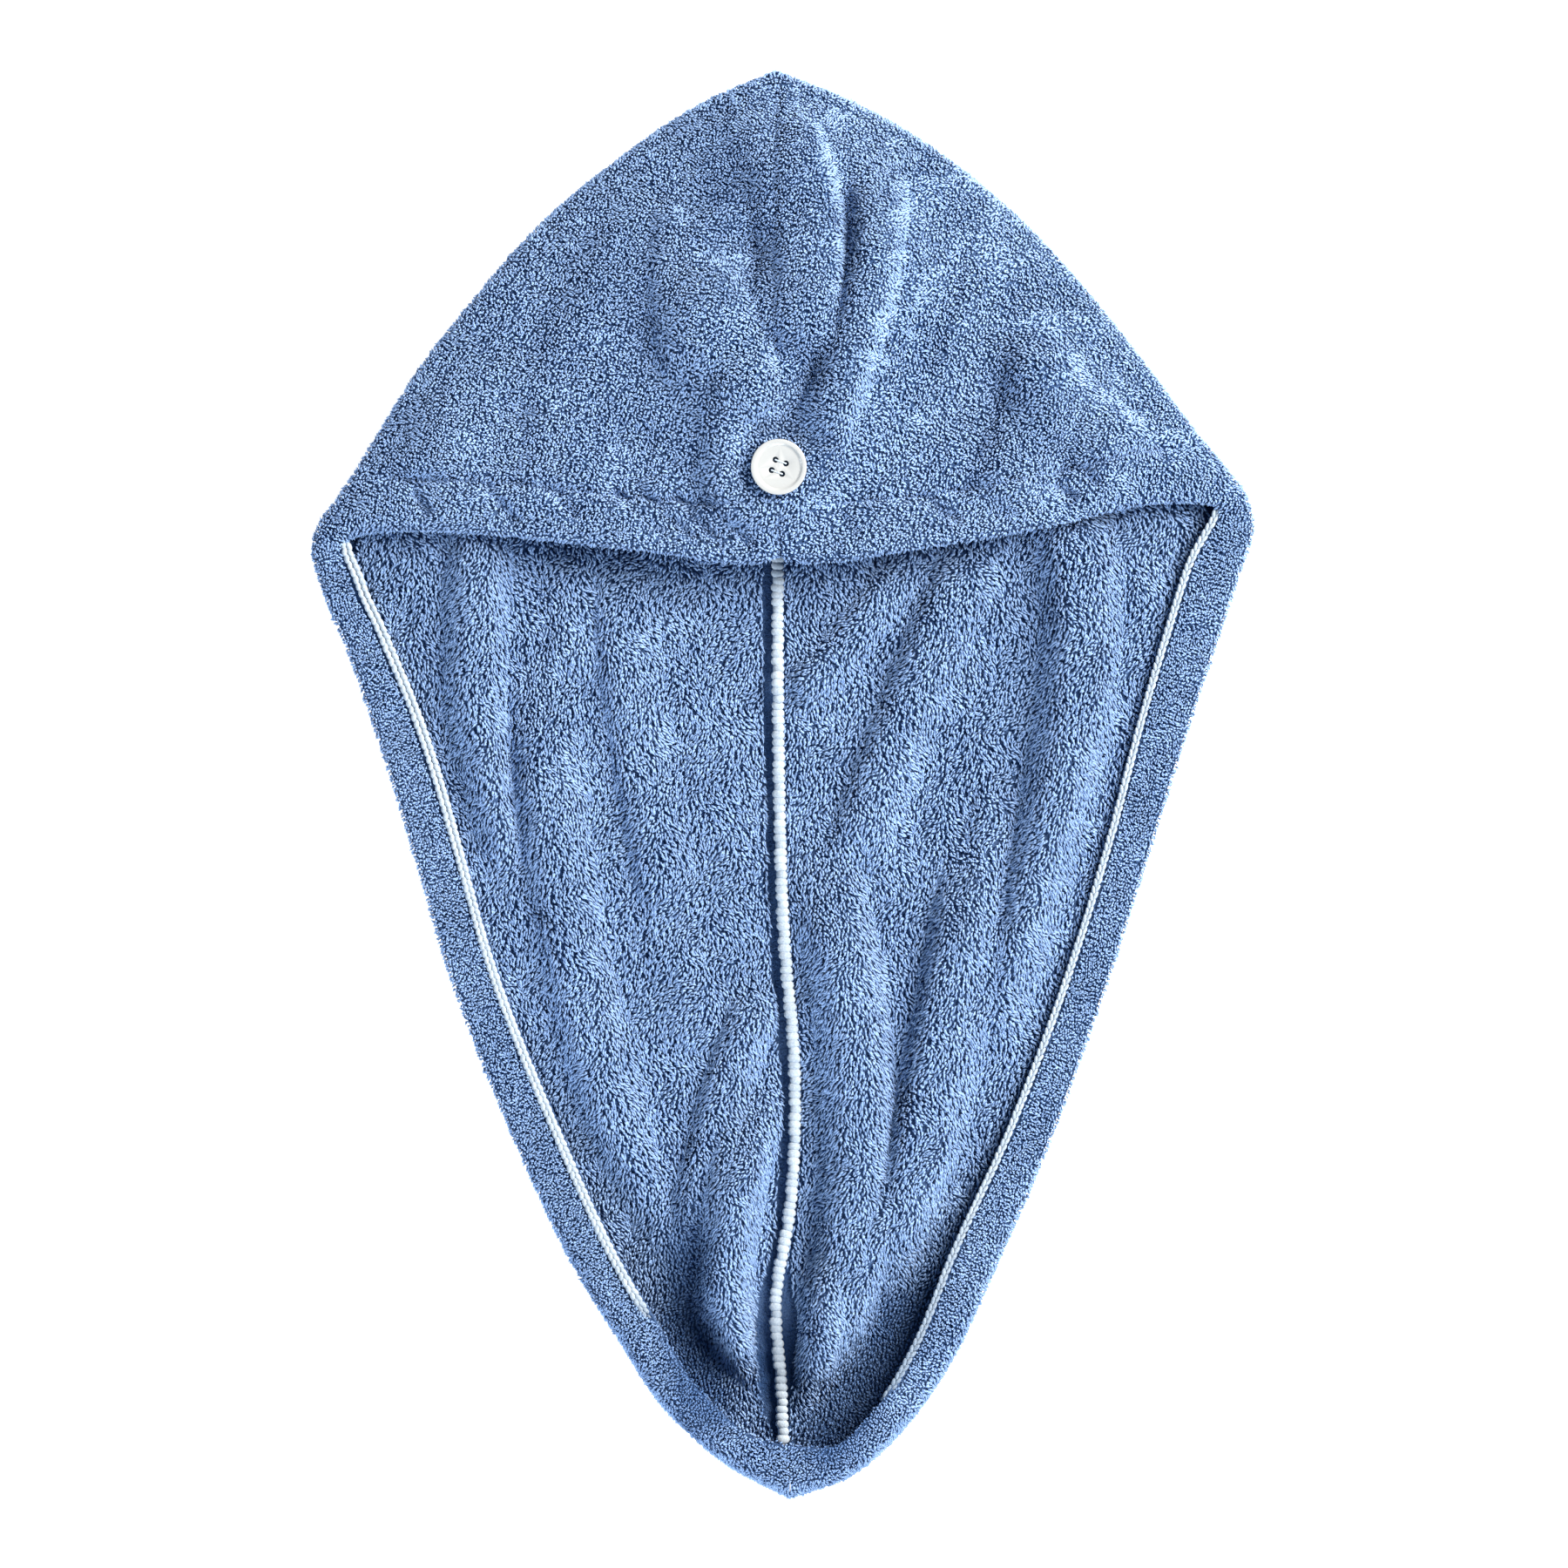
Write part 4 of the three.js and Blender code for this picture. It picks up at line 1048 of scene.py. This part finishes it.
def pilePieces(side, sign):
    s = np.linspace(0, alongEnd, pileSteps["along"])
    shares = columnShares(pileSteps["hood"], pileSteps["roll"], pileSteps["back"])
    outer, inner = clothFaces(sign, s, *shares, towel["sink"], pileOverlap)
    hoodCount = len(shares[0])
    rollCount = int(len(shares[1]) * rollWithPile)
    top = outer[:, : hoodCount + rollCount]
    fromEnd = np.hypot(top[..., 0] - top[:, :1, 0], top[..., 1] - top[:, :1, 1])
    place = np.interp(s, alongRows, np.linspace(0, 1, len(alongRows)))[:, None]
    look = hemStitching[side]
    sewn = smooth(look["first"] - sewnFade[0], look["first"], place)
    sewn = sewn * (1 - smooth(look["last"] - sewnFade[1], look["last"], place))
    keep = fromEnd >= look["cover"] * sewn
    keep = keep[:-1, :-1] * 1.0
    normals = normalsOf(top, sign)

    # painted light and shade in patches over the hood, and a darker band below the hem
    def outsideToneAndShade(x, y):
        return np.where(y > hemY(x), paintedPatchShade(x, y), -pileShades["band"])

    hood = growPile(side + "HoodPile", top, normals, keep, outsidePile, outsideToneAndShade)
    start = hoodCount + len(shares[1])
    backGrid = inner[:, start:]
    x, y = backGrid[..., 0], backGrid[..., 1]
    fold = backGrid[:, :1]
    inward = np.hypot(x - fold[..., 0], y - fold[..., 1])
    bandWide = np.hypot(top[:, 0, 0] - fold[:, 0, 0], top[:, 0, 1] - fold[:, 0, 1])[:, None]
    border = np.where(place > look["first"], bandWide - underBand, towel["hemWidth"] * hoodBorder)
    shown = (y < hemY(x) + shadowedBack) & (inward > border) & (slotShare(x, y) < slotEdge)
    shown = shown[:-1, :-1] * 1.0

    def insideTone(x, y):
        return np.full_like(x, -pileShades["inside"])

    back = growPile(side + "BackPile", backGrid, normalsOf(backGrid, -sign), shown, insidePile, insideTone)
    return [hood, back]


piles = {side: pilePieces(side, sign) for side, sign in sides}
print("pile grown")


# Overlocked edges

seamStitching = {
    "pitch": 3.35,
    "bead": [2.35, 3.05, 1.6],  # half sizes along, across and up
    "slant": -9,
    "slantSpread": 3,
    "sizes": [0.95, 1.06],
    "lift": 2.2,
    "core": [4.4, 3.0, 1.3],  # width, height and lift of the band under the beads
    # painted shade on the band under the beads
    "coreWhiteness": 0.15,
    "notchEvery": 4,
    "notch": [0.86, 0.45],  # length of a notched bead, and how far it moves aside
    "whiteness": [0.7, 0.95],
    "steps": 240,
    "seed": 33,
}


beadSteps = {"segments": 8, "rings": 6}


# Rounded body with its poles at both ends of the first axis
def beadShape(segments, rings):
    points = [[-1, 0, 0]]
    for i in range(1, rings):
        lean = math.pi * i / rings
        for k in range(segments):
            turn = 2 * math.pi * k / segments
            points.append([-math.cos(lean), math.sin(lean) * math.cos(turn), math.sin(lean) * math.sin(turn)])
    points.append([1, 0, 0])
    faces = []
    last = len(points) - 1
    for k in range(segments):
        n = (k + 1) % segments
        faces.append([0, 1 + n, 1 + k])
        for i in range(rings - 2):
            a, b = 1 + i * segments, 1 + (i + 1) * segments
            faces += [[a + k, a + n, b + n], [a + k, b + n, b + k]]
        faces.append([last, last - segments + k, last - segments + n])
    return np.array(points, float), np.array(faces)


# Beads of thread set along a line: centres, unit vectors along, across and up, and half sizes
def setBeads(centres, along, across, up, sizes):
    shape, corners = beadShape(**beadSteps)
    axes = np.stack([along, across, up], 1) * sizes[:, :, None]
    points = centres[:, None, :] + np.einsum("pi,nij->npj", shape, axes)
    faces = np.arange(len(centres))[:, None, None] * len(shape) + corners
    return points.reshape(-1, 3), faces.reshape(-1, 3)


def flatUnit(vectors):
    flat = vectors * [1, 1, 0]
    return flat / np.linalg.norm(flat, axis=-1, keepdims=True)


# Points at even distances along a line, with the line's direction
def evenPoints(line, pitch, offset):
    reach = np.concatenate([[0], np.cumsum(np.linalg.norm(np.diff(line[:, :2], axis=0), axis=1))])
    at = np.arange(offset, reach[-1], pitch)
    middle = np.stack([np.interp(at, reach, line[:, i]) for i in range(3)], -1)
    return middle, flatUnit(np.gradient(middle, axis=0)), at / reach[-1]


coreOutline = rowsOf([-0.5, -0.5], [-0.45, 0.2], [-0.2, 0.5], [0.2, 0.5], [0.45, 0.2], [0.5, -0.5])


# Band lofted under the beads, of which it shows only glimpses
def coreBand(middle, across, width, height):
    rings = middle[:, None, :] + across[:, None, :] * (coreOutline[None, :, :1] * width)
    rings[..., 2] += coreOutline[None, :, 1] * height
    rows, count = rings.shape[:2]
    quads = ringFaces(rows, count)
    fan = np.array([[0, k, k + 1] for k in range(1, count - 1)])
    ends = np.concatenate([fan[:, ::-1], (rows - 1) * count + fan])
    faces = np.concatenate([quads[:, [0, 1, 2]], quads[:, [0, 2, 3]], ends])
    points = rings.reshape(-1, 3)
    return points, faces if volumeOf(points, faces) > 0 else faces[:, ::-1]


# One piece of several parts, each with its own whiteness
def stitchedPiece(name, parts, replaced):
    points, faces, shades, first = [], [], [], 0
    for partPoints, partFaces, shade in parts:
        points.append(partPoints)
        faces.append(partFaces + first)
        shades.append(np.broadcast_to(shade, len(partPoints)))
        first += len(partPoints)
    piece = meshPiece(name, np.concatenate(points), np.concatenate(faces), overlock)
    whiteness = piece.data.attributes.new("whiteness", "FLOAT", "POINT")
    whiteness.data.foreach_set("value", np.concatenate(shades).astype(np.float32))
    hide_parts(replaced)
    return piece


# Two chains of slanting stitches over the cut end of a turned-in band
def hemEdging(side, sign):
    look = hemStitching[side]
    rng = np.random.default_rng(look["seed"])
    place = np.linspace(look["first"], look["last"], edgeSteps)
    rowPlaces = np.linspace(0, 1, len(alongRows))
    s = np.interp(place, rowPlaces, alongRows)
    outer, inner = clothFaces(sign, s, [0, 1], [0.5], [0, 1], 0)
    end = (outer[:, 0] + inner[:, 0]) / 2
    tuckDepth, tuckOver = look["tuckIn"]
    end[:, 2] -= tuckDepth * smooth(look["last"] - tuckOver, look["last"], place)
    inward = flatUnit(outer[:, 0] - outer[:, 1])
    narrow = smooth(look["narrowFrom"], look["narrowTo"], place)[:, None]
    parts = []
    offsets = [blendOf(look["rows"][i], look["narrowRows"][i], narrow) for i in (0, 1)]
    centre = end + inward * (offsets[0] + offsets[1]) / 2
    width = float(look["rows"][1] - look["rows"][0]) + look["bead"][1]
    # painted shade: the band under the beads takes the dark colour between the stitches
    parts.append((*coreBand(centre, inward, width, look["coreHeight"]), 0.0))
    for i, offset in enumerate(offsets):
        line = end + inward * offset
        middle, along, share = evenPoints(line, look["pitch"], look["pitch"] * look["stagger"][i])
        middle[:, 2] += look["lift"]
        across = np.cross([0, 0, 1], along)
        ownSlant = rng.normal(0, look["slantSpread"], len(middle))
        tilt = np.radians(look["slant"] * (1 if i else -1) + ownSlant)[:, None]
        turned = along * np.cos(tilt) + across * np.sin(tilt)
        beside = across * np.cos(tilt) - along * np.sin(tilt)
        up = np.tile([0.0, 0.0, 1.0], (len(middle), 1))
        sizes = np.array(look["bead"]) * rng.uniform(*look["sizes"], (len(middle), 1))
        points, faces = setBeads(middle, turned, beside, up, sizes)
        faded = smooth(look["fadeFrom"], look["last"], blendOf(look["first"], look["last"], share))
        shade = look["whiteness"] * rng.uniform(*look["shades"], len(middle)) * (1 - look["fade"] * faded)
        parts.append((points, faces, np.repeat(shade, len(points) // len(middle))))
    return stitchedPiece(side + "HemEdging", parts, side + "_hem_edging")


# Ribs of thread across the seam allowance, with a notch at every few
def seamEdging():
    look = seamStitching
    rng = np.random.default_rng(look["seed"])
    s = np.linspace(alongRows[1], alongEnd, look["steps"])
    faces = [clothFaces(sign, s, [0, 1], [0.5], [0, 0.96, 1], 0)[1] for side, sign in sides]
    middle = (faces[0][:, -1] + faces[1][:, -1]) / 2
    middle[:, 2] = np.maximum(faces[0][:, -2, 2], faces[1][:, -2, 2]).clip(middle[:, 2])
    coreWidth, coreHeight, coreLift = look["core"]
    across = np.zeros_like(middle)
    across[:, 0] = 1
    core = coreBand(middle + [0, 0, coreLift], across, coreWidth, coreHeight)
    parts = [(*core, look["coreWhiteness"])]
    spots, along = evenPoints(middle, look["pitch"], look["pitch"] / 2)[:2]
    spots[:, 2] += look["lift"]
    sideways = np.cross(along, [0, 0, 1])
    tilt = np.radians(look["slant"] + rng.normal(0, look["slantSpread"], len(spots)))[:, None]
    beside = sideways * np.cos(tilt) + along * np.sin(tilt)
    turned = np.cross([0, 0, 1], beside)
    up = np.tile([0.0, 0.0, 1.0], (len(spots), 1))
    sizes = np.array(look["bead"]) * rng.uniform(*look["sizes"], (len(spots), 1))
    notched = np.arange(len(spots)) % look["notchEvery"] == 0
    sizes[notched, 1] *= look["notch"][0]
    spots[notched] -= beside[notched] * look["notch"][1]
    points, corners = setBeads(spots, turned, beside, up, sizes)
    shade = np.repeat(rng.uniform(*look["whiteness"], len(spots)), len(points) // len(spots))
    parts.append((points, corners, shade))
    return stitchedPiece("seamEdging", parts, "seam_edging")


edgings = {side: hemEdging(side, sign) for side, sign in sides}
seamEdging()
print("edges overlocked")


# Button and its thread

button = {
    "radius": 12.6,
    "height": 3.4,
    "rim": 1.9,
    "slope": 0.9,
    "dish": 0.8,
    "facets": 96,
    "holeRadius": 1.35,
    "holeFacets": 24,
    "drillPast": 1,  # how far the drills reach past the button's faces
    "spacing": 5.0,  # between neighbouring holes
    "nudge": [0.9, -1.2],  # the hood leans a little towards its hem and to the right
    "turn": -20,  # degrees
    "lift": 1.4,  # above the cloth, on the thread's shank
    "rounding": 0.35,
    "holeRounding": 0.12,
    "threadRadius": 0.36,
    "stitchRise": 0.22,
    "shankRadius": 4.6,
    "shankInset": [0.3, 0.1],  # clear of the cloth below and of the button above
    "shadedUnder": 0.4,  # the thread is in the shade this far below the dish
    "shankWhiteness": 0.0,  # in the shade of the button
    "stitchWhiteness": 1.0,
}
buttonBack = buttonSeat + button["lift"]
buttonDish = buttonBack + button["height"] - button["dish"]
buttonPlace = (buttonX + button["nudge"][0], buttonY + button["nudge"][1])
buttonTurn = math.radians(button["turn"])
halfSpacing = button["spacing"] / 2


def inButton(across, up):
    x = across * math.cos(buttonTurn) - up * math.sin(buttonTurn)
    y = across * math.sin(buttonTurn) + up * math.cos(buttonTurn)
    return buttonPlace[0] + x, buttonPlace[1] + y


buttonHoles = [inButton(a * halfSpacing, b * halfSpacing) for b in (1, -1) for a in (-1, 1)]


def placedCylinder(radius, low, high, place, facets):
    deselectAll()
    middle = (place[0] * mm, place[1] * mm, (low + high) / 2 * mm)
    depth = (high - low) * mm
    bpy.ops.mesh.primitive_cylinder_add(vertices=facets, radius=radius * mm, depth=depth, location=middle)
    bpy.ops.object.transform_apply(location=True, rotation=True, scale=True)
    return bpy.context.object


def joined(pieces, name):
    deselectAll()
    for piece in pieces:
        piece.select_set(True)
    bpy.context.view_layer.objects.active = pieces[0]
    bpy.ops.object.join()
    pieces[0].name = name
    return pieces[0]


def applyModifier(piece, kind, **settings):
    deselectAll()
    piece.select_set(True)
    bpy.context.view_layer.objects.active = piece
    modifier = piece.modifiers.new(kind.lower(), kind)
    for key, value in settings.items():
        setattr(modifier, key, value)
    bpy.ops.object.modifier_apply(modifier=modifier.name)


def selectOnly(piece, chosen):
    bpy.ops.object.mode_set(mode="EDIT")
    bpy.ops.mesh.select_all(action="DESELECT")
    bpy.ops.mesh.select_mode(type="FACE")
    bpy.ops.object.mode_set(mode="OBJECT")
    for polygon in piece.data.polygons:
        polygon.select = chosen(polygon)
    bpy.ops.object.mode_set(mode="EDIT")


def makeButton():
    top = buttonBack + button["height"]
    body = placedCylinder(button["radius"], buttonBack, top, buttonPlace, button["facets"])
    selectOnly(body, lambda face: face.normal.z > 0.9)
    bpy.ops.mesh.inset(thickness=button["rim"] * mm)
    bpy.ops.mesh.inset(thickness=button["slope"] * mm)
    bpy.ops.transform.translate(value=(0, 0, -button["dish"] * mm))
    bpy.ops.object.mode_set(mode="OBJECT")
    applyModifier(body, "BEVEL", width=button["rounding"] * mm, segments=3, limit_method="ANGLE")
    low, high = buttonBack - button["drillPast"], top + button["drillPast"]
    radius, facets = button["holeRadius"], button["holeFacets"]
    drills = [placedCylinder(radius, low, high, place, facets) for place in buttonHoles]
    drill = joined(drills, "drills")
    applyModifier(body, "BOOLEAN", object=drill, operation="DIFFERENCE", solver="EXACT")
    bpy.data.objects.remove(drill)
    small = button["holeRounding"] * mm
    applyModifier(body, "BEVEL", width=small, segments=2, limit_method="ANGLE", angle_limit=1.2)
    deselectAll()
    body.select_set(True)
    bpy.context.view_layer.objects.active = body
    bpy.ops.object.shade_smooth_by_angle(angle=math.radians(40))
    body.name = "buttonDisc"
    return body


# One stitch through two holes: the upper half of a ring, with its ends taken down to the shank
def makeStitch(first, second):
    deselectAll()
    middle = ((first[0] + second[0]) / 2 * mm, (first[1] + second[1]) / 2 * mm, buttonDish * mm)
    bpy.ops.mesh.primitive_torus_add(
        location=middle,
        rotation=(math.radians(90), 0, buttonTurn),
        major_radius=halfSpacing * mm,
        minor_radius=button["threadRadius"] * mm,
        major_segments=32,
        minor_segments=10,
    )
    stitch = bpy.context.object
    bpy.ops.object.transform_apply(location=True, rotation=True, scale=True)
    selectOnly(stitch, lambda face: face.center.z < buttonDish * mm - 1e-6)
    bpy.ops.mesh.delete(type="FACE")
    bpy.ops.mesh.select_all(action="SELECT")
    flatten = button["stitchRise"] / halfSpacing
    bpy.ops.transform.resize(value=(1, 1, flatten), center_override=middle)
    bpy.ops.mesh.select_all(action="DESELECT")
    bpy.ops.mesh.select_mode(type="EDGE")
    bpy.ops.mesh.select_non_manifold()
    down = (buttonDish - buttonBack + button["lift"] / 2) * mm
    bpy.ops.mesh.extrude_edges_move(TRANSFORM_OT_translate={"value": (0, 0, -down)})
    bpy.ops.mesh.edge_face_add()
    bpy.ops.object.mode_set(mode="OBJECT")
    return stitch


def makeThread():
    upper, lower = buttonHoles[:2], buttonHoles[2:]
    fromCloth, fromButton = button["shankInset"]
    low, high = buttonBack - button["lift"] + fromCloth, buttonBack - fromButton
    shank = placedCylinder(button["shankRadius"], low, high, buttonPlace, button["holeFacets"])
    thread = joined([shank, makeStitch(*upper), makeStitch(*lower)], "buttonThread")
    deselectAll()
    thread.select_set(True)
    bpy.context.view_layer.objects.active = thread
    bpy.ops.object.mode_set(mode="EDIT")
    bpy.ops.mesh.select_all(action="SELECT")
    bpy.ops.mesh.normals_make_consistent(inside=False)
    bpy.ops.object.mode_set(mode="OBJECT")
    bpy.ops.object.shade_smooth_by_angle(angle=math.radians(50))
    return thread


buttonDisc = makeButton()
buttonDisc.data.materials.clear()
buttonDisc.data.materials.append(buttonPlastic)
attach(buttonDisc, "root")
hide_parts("button")
buttonThread = makeThread()
buttonThread.data.materials.clear()
buttonThread.data.materials.append(overlock)
whiteness = buttonThread.data.attributes.new("whiteness", "FLOAT", "POINT")
for i, corner in enumerate(buttonThread.data.vertices):
    above = corner.co.z > (buttonDish - button["shadedUnder"]) * mm
    whiteness.data[i].value = button["stitchWhiteness"] if above else button["shankWhiteness"]
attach(buttonThread, "root")
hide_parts("button_thread")
print("button sewn on")


# Floor, light and camera

# place, size, power and colour of the soft lamps, which all look at the towel's middle
lamps = {
    "key": [(1.9, 1.25, 1.75), 2.0, 268, (1, 0.96, 0.9)],
    "fill": [(0.1, -2.4, 1.0), 1.5, 80, (0.85, 0.93, 1)],
    "rim": [(-2.4, -0.3, 0.4), 1.0, 35, (0.9, 0.95, 1)],
}
studio = {
    "floor": (0.6, 0.6, 0.6, 1),
    "floorGlow": 0.85,
    "sky": (0.45, 0.7, 1.0, 1),
    "skyStrength": 0.2,
    "camera": (0.0004, -0.0002, 4.0),
    "frame": 0.7142,  # width that the camera sees at this height
    "height": 0.006,
}

bpy.ops.mesh.primitive_plane_add(size=12, location=(0, 0, -0.0002))
floor = bpy.context.object
floor.name = "floor"
pale, _, _, paleShader = newMaterial("paleFloor", roughness=0.9, sheen=0)
paleShader.inputs["Base Color"].default_value = studio["floor"]
paleShader.inputs["Emission Color"].default_value = (1, 1, 1, 1)
paleShader.inputs["Emission Strength"].default_value = studio["floorGlow"]
floor.data.materials.append(pale)


def softLight(name, place, size, power, colour):
    data = bpy.data.lights.new(name, "AREA")
    data.shape = "DISK"
    data.size = size
    data.energy = power
    data.color = colour
    lamp = bpy.data.objects.new(name, data)
    bpy.context.scene.collection.objects.link(lamp)
    lamp.location = place
    lamp.rotation_euler = (-Vector(place)).to_track_quat("-Z", "Y").to_euler()


for name, values in lamps.items():
    softLight(name, *values)
world = bpy.data.worlds.new("studio")
world.use_nodes = True
sky = world.node_tree.nodes["Background"]
sky.inputs["Color"].default_value = studio["sky"]
sky.inputs["Strength"].default_value = studio["skyStrength"]
bpy.context.scene.world = world
bpy.context.scene.view_settings.view_transform = "Standard"

cameraData = bpy.data.cameras.new("camera")
cameraData.sensor_width = 36
cameraData.lens = cameraData.sensor_width * (studio["camera"][2] - studio["height"]) / studio["frame"]
cameraData.clip_end = 100
camera = bpy.data.objects.new("camera", cameraData)
camera.location = studio["camera"]
bpy.context.scene.collection.objects.link(camera)
bpy.context.scene.camera = camera

bpy.context.view_layer.update()
